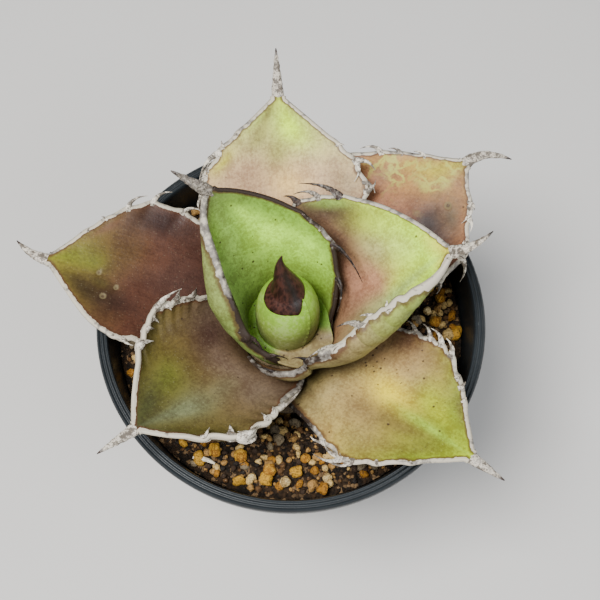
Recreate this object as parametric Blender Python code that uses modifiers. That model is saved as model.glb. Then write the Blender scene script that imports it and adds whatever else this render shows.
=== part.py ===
"""Potted agave: a spiny rosette of seven leaves round a closed bud, rooted in a gritty mix in a nursery pot.

Metres, +Z up. The origin is the centre of the pot's flat underside.
"""

import math

import bmesh
import bpy
from mathutils import Vector, noise
from mathutils.bvhtree import BVHTree

# ---------------------------------------------------------------- driving sizes
GAP = 0.0003  # clearance between pieces that touch

POT_RIM_RADIUS = 0.060
POT_HEIGHT = 0.100
POT_BASE_RADIUS = 0.043
POT_WALL = 0.0014
POT_BASE_THICKNESS = 0.0022
RIM_WIDTH = 0.0037
RIM_DEPTH = 0.0060
RIM_ROUNDING = 0.0009
POT_SIDES = 64
DRAIN_RINGS = ((0.014, 4, 0.0035), (0.030, 8, 0.0040))  # ring radius, holes, hole radius

SOIL_DROP = 0.0125  # rim down to the level of the mix
SOIL_BUMP = 0.0007
SOIL_DIP_DEPTH = 0.0115  # hollow in the mix round the crown
SOIL_DIP_INNER = 0.017
SOIL_DIP_OUTER = 0.034
SOIL_SIDES = 48
SOIL_RINGS = 13

PLANT_X = -0.001
PLANT_Y = -0.004
SHOULDER_SPREAD = 0.0128  # from the stem's flat top out to the widest part of its cone
SHOULDER_DROP = 0.0185  # crown down to the cone's widest part
NECK_RADIUS = 0.013
CROWN_ABOVE_SOIL = 0.0145  # top of the stem above the level of the mix
STEM_DEPTH = 0.030  # stem below the level of the mix
ROOT_COUNT = 5
ROOT_RADIUS = 0.0017
ROOT_REACH = 0.026
ROOT_DROP = 0.030

CROWN_ROOM = 0.0008  # between the bud and the leaf that clasps it
BUD_HEIGHT = 0.0250
BUD_RADIUS = 0.0092
BUD_CLOSING = 0.8  # how far the egg closes below the spine, 1 being a point
BUD_LEAN = math.radians(7)
BUD_SPINE_LENGTH = 0.0185
BUD_SPINE_RADIUS = 0.0046
BUD_SPINE_DEPTH = 0.8  # the spine's thickness front to back as a share of its width
BUD_SIDEWAYS = 0.0032  # the claw leans to the left and its point hooks back to the right
BUD_HOOK = 0.0018

LEAF_FIRST_AZIMUTH = 143  # degrees, youngest leaf
LEAF_DIVERGENCE = -137.5  # degrees from each leaf to the next older one
LEAF_EDGE_THICKNESS = 0.0013
LEAF_STATIONS = 13
LEAF_COLUMNS = (-1, -0.8, -0.55, -0.28, 0, 0.28, 0.55, 0.8, 1)
ROLL_SHARE = 0.45  # outer part of each half of a blade that takes part in rolling up
SPINE_STATIONS = (0.10, 0.32, 0.62, 1.0)
SPINE_BASE_RADIUS = 0.0017
SPINE_DEPTH_SHARE = 0.8  # a spine's thickness as a share of its width
TOOTH_LENGTHS = ((0.55, 0.42, 0.6), (0.45, 0.24, 1.3))  # share of the length, narrowing, share of lean
SPINE_TIP_RADIUS = 0.00018
NEST_ROOM = 0.0006  # between the base of a leaf and the one outside it
NEST_MARGIN = 14  # degrees past a younger leaf's margin before the push fades
NEST_THINNING = 0.4  # share of the push that is gone where the younger leaf thins to its margin
NEST_RAMP = 34  # degrees over which a younger leaf's base stops pushing the older ones out

# Loose grains on the mix: kind, azimuth in degrees, mm in from the mix's edge, size in mm.
GRAINS = (
    ("akadama", 262, 8, 3.9), ("akadama", 250, 10, 3.4), ("akadama", 291, 9, 3.4),
    ("akadama", 240, 8, 3.0), ("akadama", 276, 12, 3.0), ("akadama", 3, 8, 3.6),
    ("akadama", 353, 10, 3.8), ("akadama", 12, 5, 3.2), ("akadama", 131, 8, 3.6),
    ("akadama", 141, 6, 3.2), ("akadama", 348, 5, 3.4), ("akadama", 124, 4, 3.0),
    ("pumice", 268, 5, 3.2), ("pumice", 283, 5, 3.0), ("pumice", 256, 5, 2.6),
    ("pumice", 8, 10, 2.8), ("pumice", 136, 3, 2.8), ("pumice", 272, 8.5, 2.4),
)
GRAIN_SEED = 7
ROOT_BIT = (238, 4, 7.0, 1.5)  # a loose dry root: azimuth, mm in from the edge, length and thickness


def mm(value):
    return value / 1000


class Leaf:
    """One leaf of the rosette; lengths in millimetres and angles in degrees.

    Left is the side of larger azimuth: anticlockwise, seen from above.
    """

    def __init__(self, name, turn, length, left, right, rise, curl, base_rise, thick,
                 flat=0.9, cup=2, roll=(0, 0), clasp=(40, 40), sweep=0, widest=0.6, full=0.5, lift=0,
                 spine=14, spine_lift=0, spine_turn=0, teeth=()):
        self.name = name
        self.turn = turn  # departure from the regular spiral
        self.length = mm(length)
        self.left = mm(left)  # half width on the left, at the widest station
        self.right = mm(right)
        self.rise = rise
        self.curl = curl  # change of rise from base to tip
        self.base_rise = base_rise
        self.thick = mm(thick)
        self.flat = flat  # 0 wraps round the plant's axis, more is flatter
        self.cup = mm(cup)
        self.roll = roll  # how far the left and right margins roll up and in
        self.sweep = sweep  # sideways bend of the midrib, towards larger azimuth
        self.widest = widest
        self.clasp = clasp  # angles round the stem that the base holds, left and right of the midrib
        self.base_width = (0, 0)  # widths of the base's halves that reach those angles
        self.full = full  # how far the margins bow out between the widest part and the spine
        self.lift = mm(lift)
        self.spine = mm(spine)
        self.spine_lift = spine_lift
        self.spine_turn = spine_turn
        self.teeth = teeth  # (side, station, length in mm, lean towards the base in degrees)


LEAVES = (
    Leaf("leaf_1_inner", -33, 49, 29, 24, 64, -6, 80, 4.2, flat=0.2, cup=0, roll=(35, 0), sweep=22,
         clasp=(148.4, 122.8), widest=0.5, full=0.1, spine=14,
         teeth=((-1, 0.30, 6, 35), (-1, 0.52, 7, 50), (1, 0.45, 4, 40), (1, 0.2, 6, 50))),
    Leaf("leaf_2_right", 19, 51, 31, 26, 46, -4, 76, 4.8, flat=0.35, cup=0, roll=(0, 60),
         clasp=(84.8, 91.4), sweep=-12, widest=0.52, spine=14, spine_turn=20,
         teeth=((1, 0.25, 4, 20), (1, 0.40, 7, 35), (1, 0.52, 8, 50),
                (-1, 0.25, 5, 40), (-1, 0.40, 7, 60), (-1, 0.55, 4, 30))),
    Leaf("leaf_3_front_left", -8, 50, 23, 26, 22, -4, 60, 5.4, flat=0.6, roll=(45, 20), full=0.3,
         clasp=(49.0, 63.9), lift=-0.9, spine=13,
         teeth=((-1, 0.30, 4, 30), (-1, 0.42, 6, 60), (-1, 0.52, 5, 20),
                (1, 0.30, 5, 50), (1, 0.48, 7, 55), (1, 0.60, 4, 40))),
    Leaf("leaf_4_back", 2, 63, 24, 25, 20, 2, 52, 5.2, full=0.7, spine=15,
         clasp=(38.6, 40.2), spine_turn=0,
         teeth=((1, 0.28, 6, 50), (1, 0.40, 8, 60), (1, 0.55, 3, 20),
                (-1, 0.25, 6, 60), (-1, 0.38, 7, 50), (-1, 0.54, 3, 30))),
    Leaf("leaf_5_front_right", 7, 60, 22, 22, 17, -3, 48, 5.2, full=0.4, spine=11,
         clasp=(40.6, 40.6),
         teeth=((1, 0.30, 6, 20), (1, 0.42, 6, 30), (1, 0.56, 4, 30),
                (-1, 0.28, 5, 50), (-1, 0.44, 6, 60), (-1, 0.60, 3, 40))),
    Leaf("leaf_6_left", -12, 67, 19, 26, 14, -3, 46, 5.0, cup=5, sweep=2, widest=0.64,
         clasp=(26.6, 36.4), full=0.9, spine=11, spine_turn=-20,
         teeth=((1, 0.42, 6, 40), (1, 0.55, 5, 50), (-1, 0.35, 5, 30), (-1, 0.50, 3, 30))),
    Leaf("leaf_7_back_right", 5, 65, 28, 21, 18, 2, 46, 5.0, sweep=-1, widest=0.64,
         clasp=(31.4, 23.5), full=0.9, spine=14, spine_turn=-40,
         teeth=((-1, 0.36, 6, 50), (-1, 0.50, 4, 40), (-1, 0.62, 4, 40),
                (1, 0.34, 6, 40), (1, 0.48, 5, 30), (1, 0.62, 3, 30))),
)

# ---------------------------------------------------------------- derived places
SOIL_LEVEL = POT_HEIGHT - SOIL_DROP
CROWN_Z = SOIL_LEVEL + CROWN_ABOVE_SOIL
CROWN = Vector((PLANT_X, PLANT_Y, CROWN_Z))
STEM_RADIUS = BUD_RADIUS  # the flat top carries the bud
SHOULDER_RADIUS = STEM_RADIUS + SHOULDER_SPREAD  # the cone the leaf bases sit on
LEAF_START = BUD_RADIUS + GAP + CROWN_ROOM


def clear_scene():
    for obj in list(bpy.data.objects):
        bpy.data.objects.remove(obj)


def new_collection(name):
    collection = bpy.data.collections.new(name)
    bpy.context.scene.collection.children.link(collection)
    return collection


def material(name, color, roughness, metallic=0.0):
    made = bpy.data.materials.new(name)
    made.use_nodes = True
    shader = made.node_tree.nodes["Principled BSDF"]
    shader.inputs["Base Color"].default_value = (*color, 1)
    shader.inputs["Roughness"].default_value = roughness
    shader.inputs["Metallic"].default_value = metallic
    return made


def add_object(name, mesh, collection, finish=None):
    obj = bpy.data.objects.new(name, mesh)
    collection.objects.link(obj)
    if finish:
        mesh.materials.append(finish)
    return obj


def bmesh_object(name, shape, collection, finish=None, smooth_angle=None):
    mesh = bpy.data.meshes.new(name)
    bmesh.ops.recalc_face_normals(shape, faces=shape.faces)
    shape.to_mesh(mesh)
    shape.free()
    if smooth_angle is not None:
        mesh.shade_smooth()
        mesh.set_sharp_from_angle(angle=math.radians(smooth_angle))
    return add_object(name, mesh, collection, finish)


def turned(name, profile, sides, collection, finish=None):
    """A closed body of revolution; the profile runs from the axis, up the inside and down the outside."""
    mesh = bpy.data.meshes.new(name)
    points = [(radius, 0, height) for radius, height in profile]
    mesh.from_pydata(points, [(i, i + 1) for i in range(len(points) - 1)], [])
    obj = add_object(name, mesh, collection, finish)
    screw = obj.modifiers.new("Turn", "SCREW")
    screw.steps = screw.render_steps = sides
    screw.use_merge_vertices = True
    screw.merge_threshold = 0.00005
    screw.use_smooth_shade = True
    return obj


def as_mesh(obj):
    """Replaces an object that has modifiers or a bevelled curve by its evaluated, welded mesh."""
    graph = bpy.context.evaluated_depsgraph_get()
    mesh = bpy.data.meshes.new_from_object(obj.evaluated_get(graph))
    shape = bmesh.new()
    shape.from_mesh(mesh)
    bmesh.ops.remove_doubles(shape, verts=shape.verts, dist=0.00001)
    shape.to_mesh(mesh)
    shape.free()
    made = bpy.data.objects.new(obj.name, mesh)
    made.matrix_world = obj.matrix_world
    obj.users_collection[0].objects.link(made)
    name = obj.name
    bpy.data.objects.remove(obj)
    made.name = name
    return made


def cutter(obj):
    obj.hide_render = True
    obj.display_type = "WIRE"
    return obj


def boolean(obj, other, operation):
    modifier = obj.modifiers.new(operation.title(), "BOOLEAN")
    modifier.operation = operation
    modifier.object = other
    modifier.solver = "EXACT"
    return modifier


def smooth(low, high, x):
    t = min(1.0, max(0.0, (x - low) / (high - low)))
    return t * t * (3 - 2 * t)


# ---------------------------------------------------------------- pot
def wall_radius(height):
    """Outer radius of the tapered wall at a height."""
    top = POT_RIM_RADIUS - RIM_WIDTH + POT_WALL
    return POT_BASE_RADIUS + (top - POT_BASE_RADIUS) * height / POT_HEIGHT


def build_pot(parts, cutters):
    rim_inside = POT_RIM_RADIUS - RIM_WIDTH
    soft = RIM_ROUNDING
    under_rim = POT_HEIGHT - RIM_DEPTH
    profile = [
        (0, POT_BASE_THICKNESS),
        (wall_radius(POT_BASE_THICKNESS) - POT_WALL, POT_BASE_THICKNESS),
        (rim_inside, POT_HEIGHT - soft),
        (rim_inside + soft, POT_HEIGHT),
        (POT_RIM_RADIUS - soft, POT_HEIGHT),
        (POT_RIM_RADIUS, POT_HEIGHT - soft),
        (POT_RIM_RADIUS - soft / 2, under_rim),
        (wall_radius(under_rim), under_rim),
        (wall_radius(soft), soft),
        (POT_BASE_RADIUS - soft, 0),
        (0, 0),
    ]
    finish = material("pot_plastic", (0.018, 0.022, 0.028), 0.45)
    pot = turned("nursery_pot", profile, POT_SIDES, parts, finish)
    for ring, (ring_radius, holes, hole_radius) in enumerate(DRAIN_RINGS):
        for i in range(holes):
            angle = math.tau * (i + 0.5 * ring) / holes
            bpy.ops.mesh.primitive_cylinder_add(
                vertices=12, radius=hole_radius, depth=POT_BASE_THICKNESS * 4,
                location=(ring_radius * math.cos(angle), ring_radius * math.sin(angle), 0))
            tool = bpy.context.object
            tool.name = f"drain_cutter_{ring}_{i}"
            for home in tool.users_collection:
                home.objects.unlink(tool)
            cutters.objects.link(cutter(tool))
            boolean(pot, tool, "DIFFERENCE")
    return pot


# ---------------------------------------------------------------- potting mix
def soil_height(x, y):
    """Top of the mix: level, grainy, and hollowed round the crown."""
    out = math.hypot(x - PLANT_X, y - PLANT_Y)
    dip = SOIL_DIP_DEPTH * (1 - smooth(SOIL_DIP_INNER, SOIL_DIP_OUTER, out))
    bump = SOIL_BUMP * noise.noise(Vector((x, y, 0)) * 260)
    return SOIL_LEVEL - dip + bump


def mix_radius(height):
    """Radius of the mix at a height, a little clear of the pot's wall."""
    return wall_radius(height) - POT_WALL - GAP * 1.4


def build_soil(parts, root_cutters):
    floor = POT_BASE_THICKNESS + GAP
    side_top = mix_radius(SOIL_LEVEL)
    side_bottom = mix_radius(floor)
    rings = [side_top * i / SOIL_RINGS for i in range(SOIL_RINGS + 1)]
    profile = [(radius, SOIL_LEVEL) for radius in rings]
    profile += [(side_bottom, floor), (0, floor)]
    finish = material("potting_mix", (0.10, 0.065, 0.035), 0.95)
    soil = as_mesh(turned("potting_mix", profile, SOIL_SIDES, parts, finish))
    for vertex in soil.data.vertices:
        if vertex.co.z > SOIL_LEVEL - GAP:
            vertex.co.z = soil_height(vertex.co.x, vertex.co.y)
    for tool in root_cutters:
        boolean(soil, tool, "DIFFERENCE")
    return soil


def on_the_mix(azimuth, inset):
    """A place on the mix, a distance in from its edge."""
    angle = math.radians(azimuth)
    distance = mix_radius(SOIL_LEVEL) - mm(inset)
    return distance * math.cos(angle), distance * math.sin(angle)


def mix_surface(mix):
    """The finished mix as a tree that rays can be cast on."""
    shape = bmesh.new()
    shape.from_mesh(mix.data)
    surface = BVHTree.FromBMesh(shape)
    shape.free()
    return surface


def settle(shape, soil):
    """Lowers a loose piece until it lies on the mix, a gap clear of its surface."""
    down = Vector((0, 0, -1))
    sink = 1.0
    for vertex in shape.verts:
        hit, _, _, _ = soil.ray_cast(vertex.co + Vector((0, 0, POT_HEIGHT)), down)
        if hit:
            sink = min(sink, vertex.co.z - hit.z)
    bmesh.ops.translate(shape, verts=shape.verts, vec=down * (sink - 2 * GAP))


def build_grains(parts, soil):
    finishes = {
        "akadama": material("akadama", (0.55, 0.27, 0.06), 0.9),
        "pumice": material("pumice", (0.45, 0.40, 0.30), 0.95),
    }
    counts = {"akadama": 0, "pumice": 0}
    for number, (kind, azimuth, inset, size) in enumerate(GRAINS):
        counts[kind] += 1
        radius = mm(size) / 2
        x, y = on_the_mix(azimuth, inset)
        shape = bmesh.new()
        bmesh.ops.create_icosphere(shape, subdivisions=2, radius=radius)
        for vertex in shape.verts:
            lump = noise.noise(vertex.co * 0.9 / radius + Vector((number, GRAIN_SEED, 0)))
            vertex.co *= 0.92 + 0.16 * lump
            vertex.co.z *= 0.85
        bmesh.ops.translate(shape, verts=shape.verts, vec=(x, y, POT_HEIGHT))
        settle(shape, soil)
        bmesh_object(f"{kind}_grain_{counts[kind]:02}", shape, parts, finishes[kind], 60)


def build_root_bit(parts, soil):
    azimuth, inset, length, thickness = ROOT_BIT
    x, y = on_the_mix(azimuth, inset)
    angle = math.radians(-16)
    shape = bmesh.new()
    loops = []
    for t in (0, 0.12, 0.4, 0.7, 0.92, 1):
        radius = mm(thickness) / 2 * (0.25 + 0.75 * math.sin(math.pi * (0.15 + 0.75 * t)))
        along = mm(length) * (t - 0.5)
        bow = mm(0.5) * math.sin(math.pi * t)
        loops.append([shape.verts.new((
            x + along * math.cos(angle) - (bow + radius * math.cos(a)) * math.sin(angle),
            y + along * math.sin(angle) + (bow + radius * math.cos(a)) * math.cos(angle),
            POT_HEIGHT + radius * math.sin(a)))
            for a in (math.tau * i / 8 for i in range(8))])
    loft(shape, loops)
    settle(shape, soil)
    finish = material("dry_root", (0.72, 0.66, 0.55), 0.8)
    bmesh_object("dry_root_bit", shape, parts, finish, smooth_angle=60)


# ---------------------------------------------------------------- stem and roots
def root_curve(name, index, radius, collection):
    angle = math.tau * (index + 0.3) / ROOT_COUNT
    start_z = SOIL_LEVEL - STEM_DEPTH * 0.72
    data = bpy.data.curves.new(name, "CURVE")
    data.dimensions = "3D"
    data.bevel_depth = radius
    data.bevel_resolution = 2
    data.use_fill_caps = True
    spline = data.splines.new("POLY")
    count = 6
    spline.points.add(count - 1)
    for i, point in enumerate(spline.points):
        t = i / (count - 1)
        reach = STEM_RADIUS * 0.4 + ROOT_REACH * t
        turn = angle + 0.5 * t * t
        point.co = (PLANT_X + reach * math.cos(turn), PLANT_Y + reach * math.sin(turn),
                    start_z - ROOT_DROP * t ** 1.6, 1)
        point.radius = 1 - 0.55 * t
    obj = bpy.data.objects.new(name, data)
    collection.objects.link(obj)
    return as_mesh(obj)


def stem_shape(name, clearance, collection, finish=None):
    """The short caudex: a cone under the leaf bases, a neck, and a rounded end in the mix."""
    top = CROWN_Z - GAP + clearance
    shoulder = CROWN_Z - SHOULDER_DROP
    bottom = SOIL_LEVEL - STEM_DEPTH - clearance
    neck = NECK_RADIUS + clearance
    profile = [
        (0, top),
        (STEM_RADIUS + clearance, top),
        (SHOULDER_RADIUS + clearance, shoulder + clearance),
        (SHOULDER_RADIUS + clearance, shoulder - 0.0015 - clearance),
        (neck, SOIL_LEVEL - SOIL_DIP_DEPTH + 0.001 - clearance),
        (neck, bottom + neck * 0.7),
        (neck * 0.7, bottom + neck * 0.2),
        (0, bottom)]
    stem = turned(name, profile, 24, collection, finish)
    stem.location = (PLANT_X, PLANT_Y, 0)
    bpy.context.view_layer.update()
    return as_mesh(stem)


def build_stem(parts, cutters):
    finish = material("stem", (0.22, 0.17, 0.09), 0.8)
    stem = stem_shape("stem_and_roots", 0, parts, finish)
    soil_tools = [cutter(stem_shape("stem_cutter", GAP, cutters))]
    for i in range(ROOT_COUNT):
        root = cutter(root_curve(f"root_{i}", i, ROOT_RADIUS, cutters))
        boolean(stem, root, "UNION")
        soil_tools.append(cutter(root_curve(f"root_cutter_{i}", i, ROOT_RADIUS + GAP, cutters)))
    return stem, soil_tools


# ---------------------------------------------------------------- bud
def build_bud(parts):
    """The closed bud: young leaves rolled into an egg, ending in one broad claw-like spine."""
    green = material("bud_green", (0.36, 0.52, 0.13), 0.5)
    shape = bmesh.new()
    sides = 20
    rings = []
    for t in (0, 0.2, 0.42, 0.6, 0.76, 0.9, 1):
        closing = BUD_CLOSING * max(0, t - 0.35) / 0.65
        radius = BUD_RADIUS * (0.96 + 0.04 * smooth(0, 0.4, t)) * math.cos(math.pi / 2 * closing) ** 0.6
        rings.append((BUD_HEIGHT * t, radius, 1))
    for t in (0.03, 0.3, 0.6, 0.85, 1):
        radius = BUD_SPINE_RADIUS * (1 - t) ** 1.15 + SPINE_TIP_RADIUS
        rings.append((BUD_HEIGHT + BUD_SPINE_LENGTH * t, radius, BUD_SPINE_DEPTH))
    loops = []
    for height, radius, depth_share in rings:
        bend = max(0.0, height - BUD_HEIGHT) / BUD_SPINE_LENGTH
        back = math.sin(BUD_LEAN) * height
        side = BUD_HOOK * bend ** 3 - BUD_SIDEWAYS * smooth(0, 1, bend)
        loop = []
        for i in range(sides):
            angle = math.tau * i / sides
            loop.append(shape.verts.new((
                PLANT_X + side + radius * math.cos(angle),
                PLANT_Y - 0.0005 + back + radius * depth_share * math.sin(angle),
                CROWN_Z + height)))
        loops.append(loop)
    loft(shape, loops)
    return bmesh_object("bud", shape, parts, green, smooth_angle=50)


def loft(shape, loops, folded_base=False):
    """Joins closed rings of equal count into a capped skin; a folded base is closed across the blade."""
    for low, high in zip(loops, loops[1:]):
        count = len(low)
        for i in range(count):
            shape.faces.new((low[i], low[(i + 1) % count], high[(i + 1) % count], high[i]))
    if folded_base:
        base = loops[0]
        for i in range(len(base) // 2 - 1):
            shape.faces.new((base[i], base[-1 - i], base[-2 - i], base[i + 1]))
    else:
        shape.faces.new(loops[0][::-1])
    shape.faces.new(loops[-1])


# ---------------------------------------------------------------- leaves
def leaf_azimuth(index):
    return LEAF_FIRST_AZIMUTH + LEAF_DIVERGENCE * index + LEAVES[index].turn


def half_width(leaf, u, side):
    """Width of one half of the blade at station u, drawn out from its widest to the spine."""
    widest = leaf.left if side > 0 else leaf.right
    if u < leaf.widest:
        base = leaf.base_width[0] if side > 0 else leaf.base_width[1]
        width = base + (widest - base) * math.sin(math.pi / 2 * u / leaf.widest)
    else:
        t = (u - leaf.widest) / (1 - leaf.widest)
        width = widest * ((1 - t) * (1 + leaf.full * t * (1 - t)) + 0.03 * t)
    return max(width, SPINE_BASE_RADIUS)


def rolled(leaf, u, side, reach):
    """Splits the way out from the midrib into the part along the blade and the margin's lift."""
    half = half_width(leaf, u, side)
    roll = math.radians(leaf.roll[0] if side > 0 else leaf.roll[1])
    roll *= smooth(0.05, 0.4, u) * (1 - smooth(0.7, 1, u))
    start = half * (1 - ROLL_SHARE)
    if roll < 0.01 or reach <= start:
        return reach, 0.0
    radius = half * ROLL_SHARE / roll
    bent = (reach - start) / radius
    return start + radius * math.sin(bent), radius * (1 - math.cos(bent))


def leaf_thickness(leaf, u, v):
    middle = leaf.thick * (1 - 0.15 * u - 0.42 * u * u)
    edge = LEAF_EDGE_THICKNESS
    return edge + (middle - edge) * max(0.0, 1 - v * v) ** 0.7


def rise_at(leaf, u):
    settle = 1 - smooth(0, 0.34, u)
    return math.radians(leaf.rise + leaf.curl * u + (leaf.base_rise - leaf.rise) * settle)


def midrib(leaf, u):
    """Distance from the plant's axis and height of the midrib at station u."""
    steps = 24
    out, up = LEAF_START, CROWN_Z + LEAF_SEAT + leaf.lift
    for i in range(steps):
        angle = rise_at(leaf, u * (i + 0.5) / steps)
        out += math.cos(angle) * leaf.length * u / steps
        up += math.sin(angle) * leaf.length * u / steps
    return out, up


def nest_offset(index, azimuth):
    """How far the younger leaves' bases push this leaf out of their way."""
    total = 0.0
    for younger in range(index):
        leaf = LEAVES[younger]
        away = (azimuth - leaf_azimuth(younger) + 180) % 360 - 180
        reach = (leaf.clasp[0] if away > 0 else leaf.clasp[1]) + NEST_MARGIN
        beside = 1 - smooth(reach, reach + NEST_RAMP, abs(away))
        thinned = 1 - NEST_THINNING * smooth(0.5 * reach, reach, abs(away))
        total += (leaf.thick + NEST_ROOM) * beside * thinned
    return total


def base_widths(index):
    """Widths of the two halves of a leaf's base, from the angles that they hold round the stem."""
    leaf = LEAVES[index]
    push = nest_offset(index, leaf_azimuth(index)) * math.sin(math.radians(leaf.base_rise))
    return tuple(math.radians(angle) * (LEAF_START + push) for angle in leaf.clasp)


for number, each in enumerate(LEAVES):
    each.base_width = base_widths(number)


def leaf_point(index, u, v):
    """A point of the leaf's upper face, u from base to tip and v from -1 to 1 across."""
    leaf = LEAVES[index]
    out, up = midrib(leaf, u)
    angle = rise_at(leaf, u)
    side = 1 if v > 0 else -1
    across, fold = rolled(leaf, u, side, abs(v) * half_width(leaf, u, side))
    wrap_radius = out * (1 + leaf.flat * u * 2)
    turn = side * across / wrap_radius
    ahead = out - wrap_radius * (1 - math.cos(turn))
    aside = wrap_radius * math.sin(turn)
    azimuth = leaf_azimuth(index) + leaf.sweep * u * u
    here = azimuth + math.degrees(math.atan2(aside, ahead))
    cup = leaf.cup * v * v * smooth(0.1, 0.55, u) * (1 - smooth(0.6, 1, u))
    inward = cup + fold - nest_offset(index, here)
    ahead -= inward * math.sin(angle) * math.cos(turn)
    aside -= inward * math.sin(angle) * math.sin(turn)
    up += inward * math.cos(angle)
    a = math.radians(azimuth)
    return Vector((
        PLANT_X + ahead * math.cos(a) - aside * math.sin(a),
        PLANT_Y + ahead * math.sin(a) + aside * math.cos(a),
        up))


def lower_point(index, u, v):
    leaf = LEAVES[index]
    return leaf_point(index, u, v) - leaf_normal(index, u, v) * leaf_thickness(leaf, u, v)


def leaf_normal(index, u, v):
    """The upper face's normal, from the differences of nearby points."""
    step = 0.004
    along = leaf_point(index, u + step, v) - leaf_point(index, u - step, v)
    side = leaf_point(index, u, v + step) - leaf_point(index, u, v - step)
    return along.cross(side).normalized()


def leaf_ring(index, u):
    """One closed section: the upper face one way, the lower face back."""
    upper = [leaf_point(index, u, v) for v in LEAF_COLUMNS]
    lower = [lower_point(index, u, v) for v in LEAF_COLUMNS]
    return upper + lower[::-1]


def seat_on_cone():
    """How far the leaves must move up together for their bases to clear the stem's cone."""
    slope = SHOULDER_DROP / SHOULDER_SPREAD
    needed = 0.0
    for index in range(len(LEAVES)):
        for row in range(5):
            for v in LEAF_COLUMNS:
                for face in (leaf_point, lower_point):
                    point = face(index, row / LEAF_STATIONS, v)
                    out = math.hypot(point.x - PLANT_X, point.y - PLANT_Y)
                    if out < SHOULDER_RADIUS + GAP:
                        cone = CROWN_Z - (out - STEM_RADIUS) * slope
                        needed = max(needed, cone + 2 * GAP - point.z)
    return needed


LEAF_SEAT = 0.0
LEAF_SEAT = seat_on_cone()


def spine_rings(index, ring):
    """The terminal spine's sections, shrinking the blade's last one along a bent line."""
    leaf = LEAVES[index]
    centre = sum(ring, Vector()) / len(ring)
    along = (leaf_point(index, 1, 0) - leaf_point(index, 0.96, 0)).normalized()
    side = (ring[len(LEAF_COLUMNS) - 1] - ring[0]).normalized()
    up = along.cross(side).normalized()
    for t in SPINE_STATIONS:
        bent = (along + up * math.tan(math.radians(leaf.spine_lift)) * t
                + side * math.tan(math.radians(leaf.spine_turn)) * t).normalized()
        middle = centre + bent * leaf.spine * t
        radius = SPINE_BASE_RADIUS * (1 - t) ** 0.9 + SPINE_TIP_RADIUS
        yield [middle + side * radius * math.cos(a) + up * radius * SPINE_DEPTH_SHARE * math.sin(a)
               for a in spine_angles(len(ring))]


def spine_angles(count):
    """Angles that start at the right margin and go round over the upper face, as a leaf ring does."""
    return [math.pi + math.tau * (0.5 - i) / count for i in range(count)]


def add_tooth(shape, sides, tooth):
    """Draws the margin's side wall out into one hooked tooth of two lengths."""
    side, station, length, lean = tooth
    row = min(range(LEAF_STATIONS), key=lambda i: abs((i + 0.5) / LEAF_STATIONS - station))
    face = sides[(side, row)]
    face.normal_update()
    outward = face.normal.copy()
    along = margin_direction(face, outward)
    for share, narrowing, turn in TOOTH_LENGTHS:
        face = bmesh.ops.extrude_discrete_faces(shape, faces=[face])["faces"][0]
        centre = face.calc_center_median()
        bend = math.radians(lean) * turn
        step = (outward * math.cos(bend) - along * math.sin(bend)) * mm(length) * share
        for vertex in face.verts:
            vertex.co = centre + step + (vertex.co - centre) * narrowing


def margin_direction(face, outward):
    """The margin's own direction, base to tip, square to the outward one."""
    longest = max(face.edges, key=lambda edge: edge.calc_length())
    near, far = sorted(longest.verts, key=lambda vertex: (vertex.co - CROWN).length)
    along = (far.co - near.co).normalized()
    return (along - outward * along.dot(outward)).normalized()


def build_leaf(index, parts):
    leaf = LEAVES[index]
    shape = bmesh.new()
    points = [leaf_ring(index, i / LEAF_STATIONS) for i in range(LEAF_STATIONS + 1)]
    points += list(spine_rings(index, points[-1]))
    loops = [[shape.verts.new(point) for point in ring] for ring in points]
    loft(shape, loops, folded_base=True)
    bmesh.ops.recalc_face_normals(shape, faces=shape.faces)
    sides = margin_faces(loops)
    for tooth in leaf.teeth:
        add_tooth(shape, sides, tooth)
    shade = 0.25 + 0.1 * index / len(LEAVES)
    finish = material(leaf.name, (shade, 0.30 - 0.02 * index, 0.13), 0.55)
    return bmesh_object(leaf.name, shape, parts, finish, smooth_angle=60)


def margin_faces(loops):
    """The side-wall face of each blade station on each margin."""
    found = {}
    columns = len(LEAF_COLUMNS)
    for side, first in ((1, columns - 1), (-1, 2 * columns - 1)):
        second = (first + 1) % (2 * columns)
        for row in range(LEAF_STATIONS):
            corners = {loops[row][first], loops[row][second]}
            for face in loops[row][first].link_faces:
                members = set(face.verts)
                if corners <= members and loops[row + 1][first] in members:
                    found[(side, row)] = face
    return found


def main():
    clear_scene()
    parts = new_collection("potted_agave")
    cutters = new_collection("cutters")
    build_pot(parts, cutters)
    _, soil_tools = build_stem(parts, cutters)
    mix = build_soil(parts, soil_tools)
    build_bud(parts)
    for index in range(len(LEAVES)):
        build_leaf(index, parts)
    surface = mix_surface(mix)
    build_grains(parts, surface)
    build_root_bit(parts, surface)


main()
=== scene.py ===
"""Looks of the potted agave: a spiny rosette in a nursery pot of gritty mix.

Run as a script. Metres, +Z up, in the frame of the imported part.
"""

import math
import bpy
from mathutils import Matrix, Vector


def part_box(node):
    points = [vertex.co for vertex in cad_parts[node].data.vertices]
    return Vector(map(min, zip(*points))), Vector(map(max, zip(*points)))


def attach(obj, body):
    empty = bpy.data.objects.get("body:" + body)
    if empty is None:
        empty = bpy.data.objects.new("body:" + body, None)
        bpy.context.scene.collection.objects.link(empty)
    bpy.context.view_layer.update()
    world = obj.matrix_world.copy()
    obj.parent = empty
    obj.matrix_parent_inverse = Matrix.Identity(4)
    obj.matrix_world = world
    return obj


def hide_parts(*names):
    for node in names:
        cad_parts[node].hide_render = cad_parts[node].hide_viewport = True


bl_info = {
    "name": "Potted Agave",
    "version": (1, 0, 0),
    "blender": (4, 5, 0),
    "location": "View3D > Sidebar > Agave",
    "description": "Builds a spiny agave rosette in a pot of gritty mix",
    "category": "Add Mesh",
}

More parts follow.
